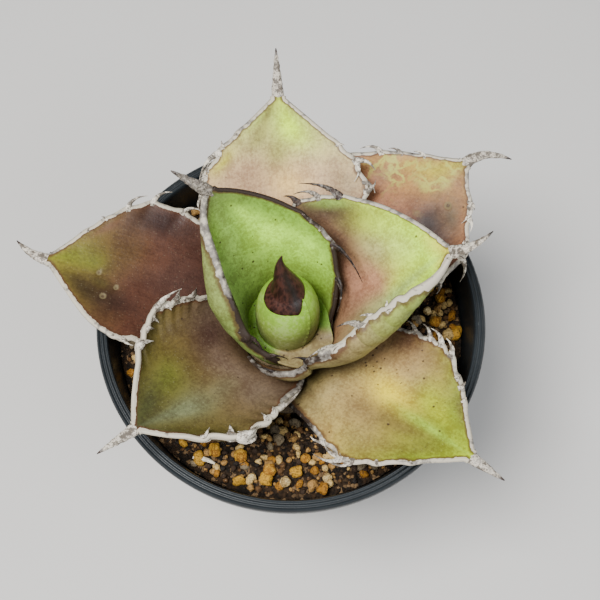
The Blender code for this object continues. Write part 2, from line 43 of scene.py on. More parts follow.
import bmesh
import bpy
import numpy as np
from bpy.props import FloatProperty, FloatVectorProperty, IntProperty, PointerProperty
from bpy.types import Operator, Panel, PropertyGroup
from mathutils import Vector, noise

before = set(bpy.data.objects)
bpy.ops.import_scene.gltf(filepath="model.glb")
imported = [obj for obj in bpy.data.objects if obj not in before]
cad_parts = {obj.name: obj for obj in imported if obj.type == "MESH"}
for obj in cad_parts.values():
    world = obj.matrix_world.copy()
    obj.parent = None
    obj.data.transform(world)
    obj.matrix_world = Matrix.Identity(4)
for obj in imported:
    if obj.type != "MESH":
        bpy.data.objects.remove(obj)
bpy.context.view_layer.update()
POT_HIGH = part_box("nursery_pot")[1]
BUD_LOW, BUD_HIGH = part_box("bud")

BODY = "root"

# ---------------------------------------------------------------- shared sizes
POT_HEIGHT = POT_HIGH.z
RIM_RADIUS = POT_HIGH.x
BASE_RADIUS = 0.043
WALL = 0.0014
FLOOR_THICKNESS = 0.0022
RIM_WIDTH = 0.0037
RIM_DEPTH = 0.0060
GRAIN_SINK = 0.0004  # how far a loose grain beds down into the grit
DRAIN_RINGS = ((0.014, 4, 0.0035), (0.030, 8, 0.0040))  # ring radius, holes, hole radius

SOIL_LEVEL = POT_HEIGHT - 0.0125
SOIL_DIP_DEPTH = 0.0115
SOIL_DIP_INNER = 0.017
SOIL_DIP_OUTER = 0.034

PLANT_X = -0.001
PLANT_Y = -0.004
CROWN_Z = BUD_LOW.z
BUD_RADIUS = (BUD_HIGH.x - BUD_LOW.x) / 2
BUD_HEIGHT = 0.0250
BUD_CLOSING = 0.8
BUD_LEAN = math.radians(7)
CLAW_LENGTH = BUD_HIGH.z - BUD_LOW.z - BUD_HEIGHT
CLAW_RADIUS = 0.0046
CLAW_SIDEWAYS = 0.0032
CLAW_HOOK = 0.0018
EGG_SWELL = 1.07

FIRST_AZIMUTH = 143
DIVERGENCE = -137.5
LEAF_START = 0.0092 + 0.0003 + 0.0008  # the bud's radius, its gap and the room round it
EDGE_THICKNESS = 0.0013
ROLL_SHARE = 0.45
HEM_BEND = math.radians(118)
SPINE_BASE = 0.0017
NEST_ROOM = 0.0006
NEST_MARGIN = 14
NEST_THINNING = 0.4
NEST_RAMP = 34

SHEATH_GREEN = (0.13, 0.25, 0.03)
SHEATH_TAN = (0.19, 0.15, 0.065)
# Azimuth in degrees and outer radius in mm of the clasped bases round the bud.
SHEATH_EDGE = ((0, 20, 60, 180, 240, 262, 285, 310, 335, 350, 360),
               (12.4, 12.0, 12.0, 12.2, 12.6, 13.6, 15.2, 15.6, 15.0, 13.0, 12.4))
SHEATH_INNER = 0.0088
# Azimuth in degrees and height of the claw's foot as a share of the bud's height.
CLAW_FOOT = ((0, 60, 130, 165, 190, 215, 245, 270, 287, 297, 306, 320, 360),
             (0.98, 0.98, 0.97, 0.91, 0.855, 0.85, 0.87, 0.88, 0.87, 0.855, 0.88, 0.95, 0.98))
CLAW_GROOVE = 300  # azimuth of the groove, in degrees
# Kinds of grit: the value of the grain attribute from which each colour is used.
GRIT_COLOURS = ((0.0, (0.007, 0.005, 0.004)), (0.26, (0.025, 0.013, 0.006)), (0.42, (0.09, 0.042, 0.012)),
                (0.58, (0.30, 0.165, 0.045)), (0.70, (0.48, 0.33, 0.12)), (0.80, (0.16, 0.125, 0.075)),
                (0.85, (0.27, 0.115, 0.006)), (0.93, (0.40, 0.21, 0.014)))

FLOOR_SIZE = 3.0
SKY_COLOUR = (0.90, 0.95, 1.0, 1)
SKY_STRENGTH = 0.45
CAMERA_LENS = 64.3
CAMERA_SHIFT = (0.015, 0.028)
CAMERA_DISTANCE = 0.330
CAMERA_ELEVATION = math.radians(70)

# ---------------------------------------------------------------- leaves
LEAF_DEFAULTS = {
    "flat": 0.9,  # how soon the blade opens flat
    "cup": 2,  # height of the margins over the midrib, in mm
    "roll": (0, 0),  # how far the left and right margins roll in, in degrees
    "hem": (0, 0),  # width of the lip folded back over the blade, in mm
    "clasp": (40, 40),  # how far the base wraps round, in degrees
    "spread": (0, 0),  # how much further it wraps, in degrees
    "sweep": 0,  # sideways bend of the midrib, in degrees
    "widest": 0.6,  # station of the widest part
    "full": 0.5,  # how full the outline is above it
    "lift": 0,  # base above the crown, in mm
    "spine": 14,  # length of the end spine, in mm
    "spine_turn": 0,  # sideways bend of the end spine, in degrees
    "bands": (1.2, 1.2),  # width of the horny edge on the left and on the right, in mm
    "tones": (0.1, 0.1),  # horny edge: 0 bleached, 1 black-brown
    "speck": 0.1,  # cover of dark specks
    "vein": 0,  # strength of the yellow-green net of veins
    "ground": (),  # colours from base to tip
    "patches": (),  # station, across, reach along, reach across, colour, strength
    "teeth": (),  # side, station, tip outwards, tip along, tip up, base width, tone
    "scars": (),  # station, across, radius
}


class Leaf:
    """One leaf; lengths in millimetres, angles in degrees, left towards the larger azimuth."""

    def __init__(self, name, node, turn, length, left, right, rise, curl, base_rise, thick, **given):
        self.name, self.node, self.turn = name, node, turn
        self.length, self.left, self.right = length / 1000, left / 1000, right / 1000
        self.thick = thick / 1000
        self.rise, self.curl, self.base_rise = rise, curl, base_rise
        for key, value in (LEAF_DEFAULTS | given).items():
            setattr(self, key, value / 1000 if key in ("cup", "lift", "spine") else value)
        self.base_width = (0, 0)


LEAVES = (
    Leaf("leaf_1", "leaf_1_inner", -33, 49, 32, 22.5, 64, -6, 80, 4.2, flat=0.2, cup=0,
         roll=(35, 0), hem=(5.2, 0), spread=(18, 0), clasp=(148.4, 122.8), sweep=22, widest=0.5,
         full=0.1, spine=14, bands=(1.9, 1.1), tones=(0.55, 0.85), speck=0.45,
         ground=((0, (0.13, 0.21, 0.035)), (0.4, (0.15, 0.26, 0.030)), (0.7, (0.16, 0.31, 0.032)),
                 (1, (0.09, 0.13, 0.03))),
         # Painted highlight: the first three patches brighten the right half's yellow-green into a pale
         # highlight band.
         patches=((0.56, -0.22, 0.12, 0.26, (0.46, 0.84, 0.06), 1),
                  (0.72, -0.12, 0.12, 0.18, (0.40, 0.74, 0.06), 0.9),
                  (0.42, -0.60, 0.14, 0.30, (0.36, 0.68, 0.05), 0.9),
                  (0.30, 0.55, 0.22, 0.34, (0.19, 0.28, 0.08), 0.8),
                  (0.50, 0.34, 0.30, 0.20, (0.20, 0.33, 0.07), 0.8),
                  (0.70, 0.85, 0.30, 0.18, (0.22, 0.20, 0.08), 0.6)),
         teeth=((1, 0.36, 1.0, -12, 1.5, 2.6, 1.0), (1, 0.20, 1.5, -7, 1, 2.4, 0.9),
                (-1, 0.51, 2.0, -14, 0.5, 2.6, 1.0), (-1, 0.34, 1.0, -10, 1, 2.6, 0.8),
                (-1, 0.57, 1.2, 1.5, 0.5, 2.0, 0.3), (-1, 0.66, 0.8, -1.5, 0.5, 1.8, 0.7))),
    Leaf("leaf_2", "leaf_2_right", 19, 51, 31, 28, 46, -4, 76, 4.8, flat=0.35, cup=0,
         roll=(0, 60), hem=(0, 6.0), spread=(0, 26), clasp=(84.8, 91.4), sweep=-12, widest=0.52,
         spine=14, spine_turn=20,
         bands=(1.1, 1.7), tones=(0.32, 0.15), speck=0.12,
         ground=((0, (0.169, 0.091, 0.044)), (0.35, (0.2, 0.1, 0.06)), (0.5, (0.307, 0.179, 0.082)),
                 (0.65, (0.419, 0.541, 0.033)), (0.85, (0.445, 0.716, 0.026)), (1, (0.514, 0.467, 0.053))),
         patches=((0.55, 0.80, 0.13, 0.34, (0.045, 0.022, 0.013), 0.97),
                  (0.44, 0.48, 0.13, 0.30, (0.060, 0.028, 0.017), 0.9),
                  (0.72, 0.25, 0.12, 0.28, (0.44, 0.60, 0.09), 0.8),
                  (0.46, -0.05, 0.14, 0.16, (0.36, 0.17, 0.10), 0.8),
                  (0.62, -0.32, 0.26, 0.10, (0.26, 0.36, 0.12), 0.8),
                  (0.45, -0.60, 0.20, 0.26, (0.15, 0.115, 0.055), 0.8),
                  (0.25, -0.70, 0.14, 0.30, (0.17, 0.15, 0.06), 0.8),
                  (0.60, 0.92, 0.05, 0.10, (0.18, 0.30, 0.04), 0.8),
                  (0.58, 0.22, 0.08, 0.16, (0.33, 0.30, 0.13), 0.7),
                  (0.72, -0.80, 0.20, 0.25, (0.16, 0.19, 0.05), 0.8)),
         teeth=((1, 0.65, 3.7, -12.4, 1, 3.4, 0.6), (1, 0.59, 2.4, -7.4, 1, 2.8, 0.45),
                (1, 0.53, 3.6, -3.3, 1, 3.2, 0.95), (1, 0.42, 2, -5, 1, 2.4, 0.5),
                (-1, 0.52, 4.6, -6.5, -1.5, 3.8, 0.42), (-1, 0.585, 2.6, -3.4, -1.0, 3.0, 0.15),
                (-1, 0.65, 2.4, 1.2, -0.6, 3.2, 0.05), (-1, 0.74, 1.6, -1.6, 0.2, 2.8, 0.05),
                (-1, 0.46, 1.6, -3.2, -0.5, 3.0, 0.2), (-1, 0.39, 2.0, -10.0, 0.8, 3.2, 0.35),
                (-1, 0.28, 1.0, -6, 1.0, 2.6, 0.9), (-1, 0.14, 1, -7, 0.8, 2.4, 0.95))),
    Leaf("leaf_3", "leaf_3_front_left", -8, 50, 23, 26, 22, -4, 60, 5.4, flat=0.6,
         roll=(45, 60), clasp=(49.0, 63.9), full=0.3, lift=-0.9, spine=13,
         bands=(1.6, 1.7), tones=(0.10, 0.10), speck=0.05,
         ground=((0, (0.053, 0.028, 0.011)), (0.3, (0.110, 0.074, 0.048)), (0.45, (0.085, 0.057, 0.020)),
                 (0.6, (0.076, 0.057, 0.016)), (0.8, (0.056, 0.048, 0.009)), (1, (0.026, 0.029, 0.009))),
         patches=((0.44, 0.2, 0.12, 0.15, (0.124, 0.113, 0.060), 0.6),
                  (0.68, 0.2, 0.15, 0.18, (0.124, 0.139, 0.071), 0.8),
                  (0.8, 0.15, 0.15, 0.12, (0.085, 0.098, 0.048), 0.7),
                  (0.66, -0.35, 0.12, 0.25, (0.076, 0.088, 0.011), 0.9),
                  (0.86, -0.35, 0.12, 0.3, (0.034, 0.037, 0.009), 0.9),
                  (0.55, -0.6, 0.14, 0.25, (0.073, 0.048, 0.009), 0.6),
                  (0.3, -0.5, 0.15, 0.25, (0.029, 0.011, 0.009), 0.8),
                  (0.35, 0.6, 0.15, 0.3, (0.098, 0.070, 0.046), 0.6)),
         teeth=((-1, 0.49, 5.2, -0.4, 1, 3.6, 0.15), (-1, 0.60, 3.6, -8.4, 1.5, 4.2, 0.15),
                (-1, 0.635, -2.4, 0.2, 1.8, 4.2, 0.0), (-1, 0.74, -4.0, -2.6, 1.8, 5.4, 0.0),
                (-1, 0.68, -1.6, -1.0, 1.6, 4.6, 0.0), (-1, 0.40, 4.6, 0.2, 1, 3.2, 0.4),
                (-1, 0.45, 1, -3, 1, 2.8, 0.2), (-1, 0.55, -1.4, -1.0, 1.4, 4.4, 0.05),
                (1, 0.65, -3.2, -5.2, 3.6, 7.0, 0.0), (1, 0.69, -2.6, 0.5, 3.2, 5.0, 0.1),
                (1, 0.78, -1.6, -1.6, 2.4, 4.4, 0.0), (1, 0.62, -2, 2.2, 2.2, 4.0, 0.0),
                (1, 0.51, -2, -1.0, 2.2, 4.0, 0.1), (1, 0.45, -1, -2.0, 1.2, 3.4, 0.1),
                (1, 0.38, 3.6, -8.0, 1, 3.4, 0.4))),
    Leaf("leaf_4", "leaf_4_back", 2, 63, 24, 25, 20, 2, 52, 5.2, full=0.7, clasp=(38.6, 40.2),
         spine=15, bands=(0.8, 0.85), tones=(0.28, 0.25), speck=0.08,
         ground=((0, (0.10, 0.06, 0.04)), (0.5, (0.42, 0.27, 0.17)), (0.66, (0.46, 0.32, 0.17)),
                 (0.78, (0.40, 0.36, 0.14)), (0.9, (0.36, 0.44, 0.08)), (1, (0.28, 0.32, 0.03))),
         patches=((0.85, -0.3, 0.1, 0.35, (0.484, 0.728, 0.006), 0.9),
                  (0.8, 0.45, 0.07, 0.2, (0.182, 0.176, 0.037), 0.8),
                  (0.92, 0.55, 0.06, 0.2, (0.122, 0.102, 0.02), 0.8),
                  (0.62, 0.4, 0.08, 0.4, (0.308, 0.193, 0.106), 0.8),
                  (0.57, -0.1, 0.08, 0.25, (0.683, 0.45, 0.128), 0.7),
                  (0.72, 0.05, 0.08, 0.2, (0.19, 0.207, 0.025), 0.6),
                  (0.7, 0.85, 0.06, 0.12, (0.372, 0.357, 0.006), 0.7),
                  (0.6, -0.8, 0.1, 0.25, (0.202, 0.152, 0.065), 0.7)),
         teeth=((1, 0.75, 2.6, -10.6, 0.5, 3.0, 0.1), (1, 0.66, 1.6, -4.9, 0.5, 2.6, 0.3),
                (1, 0.675, 1.4, 3.0, 0.5, 2.2, 0.05), (1, 0.77, 2.4, 0.8, 0.5, 2.2, 0.0),
                (1, 0.83, 0.9, -1.6, 0.5, 2.2, 0.0), (1, 0.57, 1.5, -4, 0.5, 2.6, 0.2),
                (-1, 0.70, 2.4, -6.8, 0.8, 3.2, 0.05), (-1, 0.685, -0.8, -5.4, 1.2, 2.2, 0.05),
                (-1, 0.57, 3.0, 3.6, 0.8, 3.2, 0.0), (-1, 0.61, 2.0, -4.4, 0.8, 2.8, 0.1),
                (-1, 0.77, 1.6, -1.8, 0.5, 2.2, 0.05), (-1, 0.48, 2, -4, 0.5, 2.6, 0.1))),
    Leaf("leaf_5", "leaf_5_front_right", 7, 60, 22, 22, 17, -3, 48, 5.2, full=0.4,
         clasp=(40.6, 40.6), spine=11, bands=(0.9, 0.7), tones=(0.3, 0.3), speck=0.75,
         ground=((0, (0.12, 0.085, 0.04)), (0.25, (0.26, 0.20, 0.08)), (0.45, (0.40, 0.28, 0.08)),
                 (0.6, (0.231, 0.188, 0.029)), (0.8, (0.162, 0.208, 0.01)), (1, (0.267, 0.362, 0.006))),
         patches=((0.42, 0.85, 0.16, 0.34, (0.075, 0.032, 0.017), 0.95),
                  (0.30, 0.55, 0.12, 0.35, (0.19, 0.115, 0.06), 0.8),
                  (0.52, 0.45, 0.10, 0.30, (0.27, 0.175, 0.085), 0.6),
                  (0.45, -0.35, 0.14, 0.25, (0.16, 0.105, 0.045), 0.75),
                  (0.48, 0.1, 0.12, 0.2, (0.663, 0.521, 0.02), 0.9),
                  (0.62, -0.25, 0.14, 0.14, (0.13, 0.095, 0.025), 0.8),
                  (0.78, -0.02, 0.20, 0.09, (0.26, 0.40, 0.03), 0.8),
                  (0.7, 0.35, 0.12, 0.2, (0.308, 0.357, 0.006), 0.8),
                  (0.8, -0.5, 0.1, 0.3, (0.123, 0.117, 0.017), 0.7),
                  (0.5, -0.7, 0.2, 0.25, (0.174, 0.148, 0.038), 0.5),
                  (0.82, 0.8, 0.07, 0.15, (0.093, 0.064, 0.022), 0.6),
                  (0.08, -0.45, 0.08, 0.3, (0.05, 0.04, 0.012), 0.8)),
         teeth=((1, 0.525, 3.2, -4.0, 1, 2.8, 0.1), (1, 0.585, 2.8, -5.2, 1, 3.0, 0.05),
                (1, 0.65, 3.2, -4.6, 0.8, 3.0, 0.05), (1, 0.665, -1.5, -2.2, 1.5, 2.2, 0.0),
                (1, 0.73, 1.3, -0.6, 0.6, 2.6, 0.0), (1, 0.765, 1.9, -1.3, 0.6, 2.6, 0.0),
                (1, 0.81, 1.3, -0.8, 0.5, 2.2, 0.1), (1, 0.45, 2.5, -4, 1, 2.6, 0.2),
                (-1, 0.57, 1.6, -8.5, 0.8, 2.8, 0.3), (-1, 0.545, 2.4, -6.0, 0.5, 2.4, 0.1),
                (-1, 0.62, 2.4, -5.9, 0.6, 2.8, 0.1), (-1, 0.70, 1.5, 0.8, 0.4, 2.2, 0.1),
                (-1, 0.81, 1.2, 0.3, 0.4, 2.0, 0.0), (-1, 0.45, 2, -4, 0.5, 2.4, 0.2))),
    Leaf("leaf_6", "leaf_6_left", -12, 67, 19, 26, 14, -3, 46, 5.0, cup=5, sweep=2, widest=0.64,
         clasp=(26.6, 36.4), full=0.9, spine=11, spine_turn=-20,
         bands=(0.9, 0.8), tones=(0.22, 0.25), speck=0.06,
         ground=((0, (0.025, 0.010, 0.008)), (0.4, (0.050, 0.020, 0.013)), (0.6, (0.075, 0.028, 0.015)),
                 (0.72, (0.085, 0.042, 0.015)), (0.85, (0.10, 0.075, 0.013)), (1, (0.14, 0.13, 0.012))),
         patches=((0.8, -0.15, 0.08, 0.2, (0.096, 0.106, 0.008), 0.9),
                  (0.92, -0.3, 0.08, 0.3, (0.112, 0.125, 0.008), 0.9),
                  (0.68, -0.3, 0.1, 0.25, (0.06, 0.031, 0.007), 0.8),
                  (0.66, 0.45, 0.12, 0.3, (0.023, 0.009, 0.006), 0.9),
                  (0.8, 0.5, 0.1, 0.3, (0.028, 0.019, 0.006), 0.8),
                  (0.8, -0.8, 0.08, 0.15, (0.108, 0.052, 0.029), 0.8),
                  (0.62, -0.8, 0.12, 0.2, (0.014, 0.006, 0.006), 0.8),
                  (0.74, 0.2, 0.06, 0.12, (0.046, 0.035, 0.006), 0.8)),
         scars=((0.71, 0.42, 0.0016), (0.665, 0.18, 0.0013), (0.76, 0.02, 0.0013)),
         teeth=((-1, 0.76, 1.8, -7.4, 1, 2.6, 0.05), (-1, 0.68, 3.4, -6.4, 1, 2.8, 0.1),
                (-1, 0.82, 1.9, 1.2, 0.6, 2.4, 0.05), (-1, 0.88, 0.8, -1, 0.4, 2.0, 0.05),
                (1, 0.585, 3.0, -3.3, 0.6, 2.8, 0.05), (1, 0.625, 1.4, 0.6, 0.6, 2.2, 0.05),
                (1, 0.50, 1.8, -2.5, 0.6, 2.4, 0.1), (-1, 0.55, 3, -5, 1, 2.6, 0.1))),
    Leaf("leaf_7", "leaf_7_back_right", 5, 65, 28, 21, 18, 2, 46, 5.0, sweep=-1, widest=0.64,
         clasp=(31.4, 23.5), full=0.9, spine=14, spine_turn=-40,
         bands=(0.75, 0.85), tones=(0.3, 0.3), speck=0.08,
         vein=0.8,
         ground=((0, (0.03, 0.015, 0.01)), (0.5, (0.085, 0.036, 0.02)), (0.65, (0.20, 0.080, 0.038)),
                 (0.8, (0.25, 0.115, 0.048)), (0.92, (0.26, 0.16, 0.04)), (1, (0.30, 0.28, 0.03))),
         patches=((0.86, 0.4, 0.1, 0.35, (0.343, 0.33, 0.006), 0.8),
                  (0.75, 0.4, 0.1, 0.3, (0.268, 0.129, 0.036), 0.8),
                  (0.68, -0.25, 0.1, 0.3, (0.022, 0.008, 0.006), 1),
                  (0.78, -0.55, 0.08, 0.25, (0.06, 0.047, 0.022), 0.8),
                  (0.9, -0.5, 0.06, 0.25, (0.227, 0.106, 0.031), 0.8),
                  (0.78, 0.85, 0.1, 0.15, (0.339, 0.189, 0.034), 0.6),
                  (0.62, -0.6, 0.12, 0.4, (0.012, 0.006, 0.006), 0.9)),
         scars=((0.80, -0.40, 0.0018),),
         teeth=((1, 0.79, 1.4, -6.9, 0.6, 2.8, 0.05), (1, 0.84, 1.6, -4.2, 0.5, 2.4, 0.05),
                (1, 0.90, 1.2, -3.7, 0.5, 2.2, 0.05), (1, 0.70, 2, -5, 0.5, 2.6, 0.1),
                (-1, 0.885, 1.2, -3.0, 0.8, 2.6, 0.05), (-1, 0.87, -0.5, -5.8, 1.2, 2.6, 0.0),
                (-1, 0.83, 1.3, -4.6, 0.8, 2.6, 0.05), (-1, 0.75, 0.8, -6.0, 0.6, 2.4, 0.05),
                (-1, 0.69, 3.4, -7.6, 0.6, 2.6, 0.05), (-1, 0.55, 3.6, -3.4, 0.6, 2.4, 0.05))),
)


# ---------------------------------------------------------------- small helpers
def smooth(low, high, x):
    t = np.clip((x - low) / (high - low), 0, 1)
    return t * t * (3 - 2 * t)


def rough(points, scale, seed=0.0):
    """Smooth noise at each point, about -1 to 1."""
    shift = Vector((seed * 3.1, seed * 1.7, seed))
    return np.array([noise.noise(Vector(p) * scale + shift) for p in points])


def add_object(name, mesh, finish=None):
    obj = bpy.data.objects.new(name, mesh)
    bpy.context.scene.collection.objects.link(obj)
    if finish:
        mesh.materials.append(finish)
    return obj


def new_mesh(name, points, faces, edges=()):
    mesh = bpy.data.meshes.new(name)
    mesh.from_pydata([tuple(p) for p in points], list(edges), [tuple(f) for f in faces])
    mesh.update()
    return mesh


def store(mesh, name, kind, values):
    """Stores one value per vertex under a name that materials and node trees read."""
    attribute = mesh.attributes.new(name, kind, "POINT")
    field = {"FLOAT": "value", "FLOAT_VECTOR": "vector", "FLOAT_COLOR": "color"}[kind]
    attribute.data.foreach_set(field, np.asarray(values, np.float32).ravel())


def settled(obj, name):
    """The plain mesh of an object's evaluated shape, as a new object in its place."""
    bpy.context.view_layer.update()
    graph = bpy.context.evaluated_depsgraph_get()
    mesh = bpy.data.meshes.new_from_object(obj.evaluated_get(graph))
    mesh.name = name
    bpy.data.objects.remove(obj)
    return add_object(name, mesh)


def place(obj, nodes=()):
    """Puts a finished piece on the part's one body."""
    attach(obj, BODY)
    if nodes:
        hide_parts(*nodes)
    return obj


def refinish(node, finish):
    """Gives a CAD node that stays in view its own material."""
    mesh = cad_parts[node].data
    mesh.materials.clear()
    mesh.materials.append(finish)


def lathe(profile, sides):
    """Points and faces of a closed body turned round Z; the profile runs from axis to axis."""
    points = [(0, 0, profile[0][1])]
    for radius, height in profile[1:-1]:
        for i in range(sides):
            angle = math.tau * i / sides
            points.append((radius * math.cos(angle), radius * math.sin(angle), height))
    points.append((0, 0, profile[-1][1]))
    last = len(points) - 1
    rings = len(profile) - 2
    faces = []
    for i in range(sides):
        j = (i + 1) % sides
        faces.append((0, 1 + i, 1 + j))
        for ring in range(rings - 1):
            a = 1 + ring * sides
            faces.append((a + i, a + sides + i, a + sides + j, a + j))
        a = 1 + (rings - 1) * sides
        faces.append((a + i, last, a + j))
    return points, faces


# ---------------------------------------------------------------- node trees
class Nodes:
    """A node tree, with one short call for each kind of node."""

    def __init__(self, tree):
        self.tree = tree
        self.shader = tree.nodes.get("Principled BSDF")

    def set(self, socket, value):
        """Links a socket to another socket, or sets its value."""
        if isinstance(value, bpy.types.NodeSocket):
            self.link(value, socket)
        elif socket.type == "RGBA" and len(value) == 3:
            socket.default_value = (*value, 1)
        else:
            socket.default_value = value

    def link(self, source, socket):
        self.tree.links.new(source, socket)

    def add(self, kind, inputs=None, **settings):
        """One node, its settings and its inputs as values or links."""
        node = self.tree.nodes.new(kind)
        for key, value in settings.items():
            setattr(node, key, value)
        for key, value in (inputs or {}).items():
            self.set(node.inputs[key], value)
        return node

    def math(self, operation, a, b):
        return self.add("ShaderNodeMath", {0: a, 1: b}, operation=operation).outputs[0]

    def mul(self, a, b):
        return self.math("MULTIPLY", a, b)

    def plus(self, a, b):
        return self.math("ADD", a, b)

    def minus(self, a, b):
        return self.math("SUBTRACT", a, b)

    def weigh(self, a, share, b):
        """A share of one value, and the rest of another."""
        return self.plus(self.mul(a, share), self.mul(b, 1 - share))

    def swing(self, value, reach):
        """A value between 0 and 1, centred on zero and stretched."""
        return self.mul(self.minus(value, 0.5), reach)

    def vector(self, operation, a, b):
        return self.add("ShaderNodeVectorMath", {0: a, 1: b}, operation=operation).outputs[0]

    def scaled(self, vector, share):
        return self.add("ShaderNodeVectorMath", {0: vector, "Scale": share}, operation="SCALE").outputs[0]

    def ramp(self, value, low, high, to_low=0.0, to_high=1.0):
        """A value carried over smoothly from one range to another."""
        inputs = {"Value": value, "From Min": low, "From Max": high, "To Min": to_low, "To Max": to_high}
        return self.add("ShaderNodeMapRange", inputs, interpolation_type="SMOOTHSTEP").outputs[0]

    def straight(self, value, low, high):
        """A value carried over in a straight line from a range to 0 and 1."""
        inputs = {"Value": value, "From Min": low, "From Max": high}
        return self.add("ShaderNodeMapRange", inputs).outputs[0]

    def mix(self, factor, a, b, mode="MIX"):
        inputs = {0: factor, 6: a, 7: b}  # the mix node has other sockets for each kind of data
        return self.add("ShaderNodeMix", inputs, data_type="RGBA", blend_type=mode).outputs[2]

    def tinted(self, skin, value, low, high, most, colour):
        """The skin, going over to a colour as a value goes from low to high."""
        return self.mix(self.ramp(value, low, high, 0.0, most), skin, colour)

    def noise(self, vector, scale, detail=3.0, roughness=0.55, output=0):
        inputs = {"Vector": vector, "Scale": scale, "Detail": detail, "Roughness": roughness}
        return self.add("ShaderNodeTexNoise", inputs).outputs[output]

    def where(self):
        return self.add("ShaderNodeTexCoord").outputs["Object"]

    def attribute(self, name, output="Fac"):
        return self.add("ShaderNodeAttribute", attribute_name=name).outputs[output]

    def bump(self, height, distance, strength):
        inputs = {"Height": height, "Distance": distance, "Strength": strength}
        return self.add("ShaderNodeBump", inputs).outputs[0]

    def group(self, name, **inputs):
        """The output of a shared group, with its inputs by name."""
        node = self.add("ShaderNodeGroup", node_tree=group(name))
        for key, value in inputs.items():
            self.set(node.inputs[key], value)
        return node.outputs[0]

    def put(self, **values):
        """Sets the shader's sockets, named with underscores for spaces."""
        for key, value in values.items():
            self.set(self.shader.inputs[key.replace("_", " ")], value)


def new_group(name, kind, sockets):
    """A node group with its inputs and outputs: name, socket type, default (None on outputs)."""
    tree = bpy.data.node_groups.new(name, kind)
    for label, socket, default in sockets:
        direction = "INPUT" if default is not None else "OUTPUT"
        made = tree.interface.new_socket(label, in_out=direction, socket_type="NodeSocket" + socket)
        if default is not None and default != "":
            made.default_value = default
    inside = tree.nodes.new("NodeGroupInput")
    outside = tree.nodes.new("NodeGroupOutput")
    return Nodes(tree), inside.outputs, outside.inputs


def new_material(name):
    made = bpy.data.materials.new(name)
    made.use_nodes = True
    return made, Nodes(made.node_tree)


# ---------------------------------------------------------------- shared shader groups
def mottle_group():
    """Colour broken up by cloudy patches and a finer grain."""
    n, ins, outs = new_group("mottle", "ShaderNodeTree", (
        ("Vector", "Vector", ""), ("Color", "Color", (0.5, 0.5, 0.5, 1)),
        ("Shade", "Color", (0.2, 0.2, 0.2, 1)), ("Light", "Color", (0.8, 0.8, 0.8, 1)),
        ("Scale", "Float", 90.0), ("Amount", "Float", 0.5), ("Color", "Color", None)))
    cloud = n.noise(ins["Vector"], ins["Scale"], 4.0, 0.6)
    grain = n.noise(ins["Vector"], n.mul(ins["Scale"], 7.0), 3.0, 0.65)
    both = n.weigh(cloud, 0.5, grain)
    low = n.mul(n.ramp(both, 0.52, 0.40), ins["Amount"])
    high = n.mul(n.ramp(both, 0.49, 0.60), ins["Amount"])
    shaded = n.mix(low, ins["Color"], ins["Shade"])
    n.link(n.mix(high, shaded, ins["Light"]), outs["Color"])
    return n.tree


def speck_group():
    """Scattered small dots; cover is the share of cells that hold one."""
    n, ins, outs = new_group("specks", "ShaderNodeTree", (
        ("Vector", "Vector", ""), ("Scale", "Float", 900.0), ("Size", "Float", 0.3),
        ("Cover", "Float", 0.2), ("Mask", "Float", None)))
    cells = n.add("ShaderNodeTexVoronoi", {"Vector": ins["Vector"], "Scale": ins["Scale"]})
    parts = n.add("ShaderNodeSeparateColor", {0: cells.outputs["Color"]})
    size = n.mul(ins["Size"], n.plus(parts.outputs[1], 0.3))
    inner = n.mul(size, 0.6)
    dot = n.straight(cells.outputs["Distance"], size, inner)
    held = n.math("LESS_THAN", parts.outputs[0], ins["Cover"])
    n.link(n.mul(dot, held), outs["Mask"])
    return n.tree


def vein_group():
    """A loose net of soft lines, wavering and broken."""
    n, ins, outs = new_group("veins", "ShaderNodeTree", (
        ("Vector", "Vector", ""), ("Scale", "Float", 150.0), ("Mask", "Float", None)))
    wander = n.noise(ins["Vector"], n.mul(ins["Scale"], 1.6), 3.0, output=1)
    bent = n.scaled(wander, 0.0075)
    moved = n.vector("ADD", ins["Vector"], bent)
    inputs = {"Vector": moved, "Scale": ins["Scale"]}
    cells = n.add("ShaderNodeTexVoronoi", inputs, feature="DISTANCE_TO_EDGE")
    line = n.ramp(cells.outputs["Distance"], 0.13, 0.02)
    fade = n.ramp(n.noise(ins["Vector"], n.mul(ins["Scale"], 0.5)), 0.40, 0.58)
    n.link(n.mul(line, fade), outs["Mask"])
    return n.tree


def fibre_group():
    """Fine streaks that run along the second axis of the vector."""
    n, ins, outs = new_group("fibres", "ShaderNodeTree", (
        ("Vector", "Vector", ""), ("Scale", "Float", 900.0), ("Stretch", "Float", 12.0),
        ("Value", "Float", None)))
    drawn = n.math("DIVIDE", 1.0, ins["Stretch"])
    ratio = n.add("ShaderNodeCombineXYZ", {0: 1.0, 1: drawn, 2: 1.0}).outputs[0]
    along = n.vector("MULTIPLY", ins["Vector"], ratio)
    n.link(n.noise(along, ins["Scale"], 2.0), outs["Value"])
    return n.tree


def scuff_group():
    """Pale scuffs and dust, in broken patches."""
    n, ins, outs = new_group("scuffs", "ShaderNodeTree", (
        ("Vector", "Vector", ""), ("Scale", "Float", 60.0), ("Cover", "Float", 0.4),
        ("Mask", "Float", None)))
    broad = n.noise(ins["Vector"], ins["Scale"], 5.0, 0.7)
    fine = n.noise(ins["Vector"], n.mul(ins["Scale"], 14.0), 3.0)
    edge = n.minus(0.78, n.mul(ins["Cover"], 0.35))
    top = n.plus(edge, 0.14)
    both = n.weigh(broad, 0.55, fine)
    n.link(n.straight(both, edge, top), outs["Mask"])
    return n.tree


MAKERS = {"mottle": mottle_group, "specks": speck_group, "fibres": fibre_group, "scuffs": scuff_group,
          "veins": vein_group}
GROUPS = {}


def group(name):
    """A shared shader group, built the first time it is asked for."""
    if name not in GROUPS:
        GROUPS[name] = MAKERS[name]()
    return GROUPS[name]


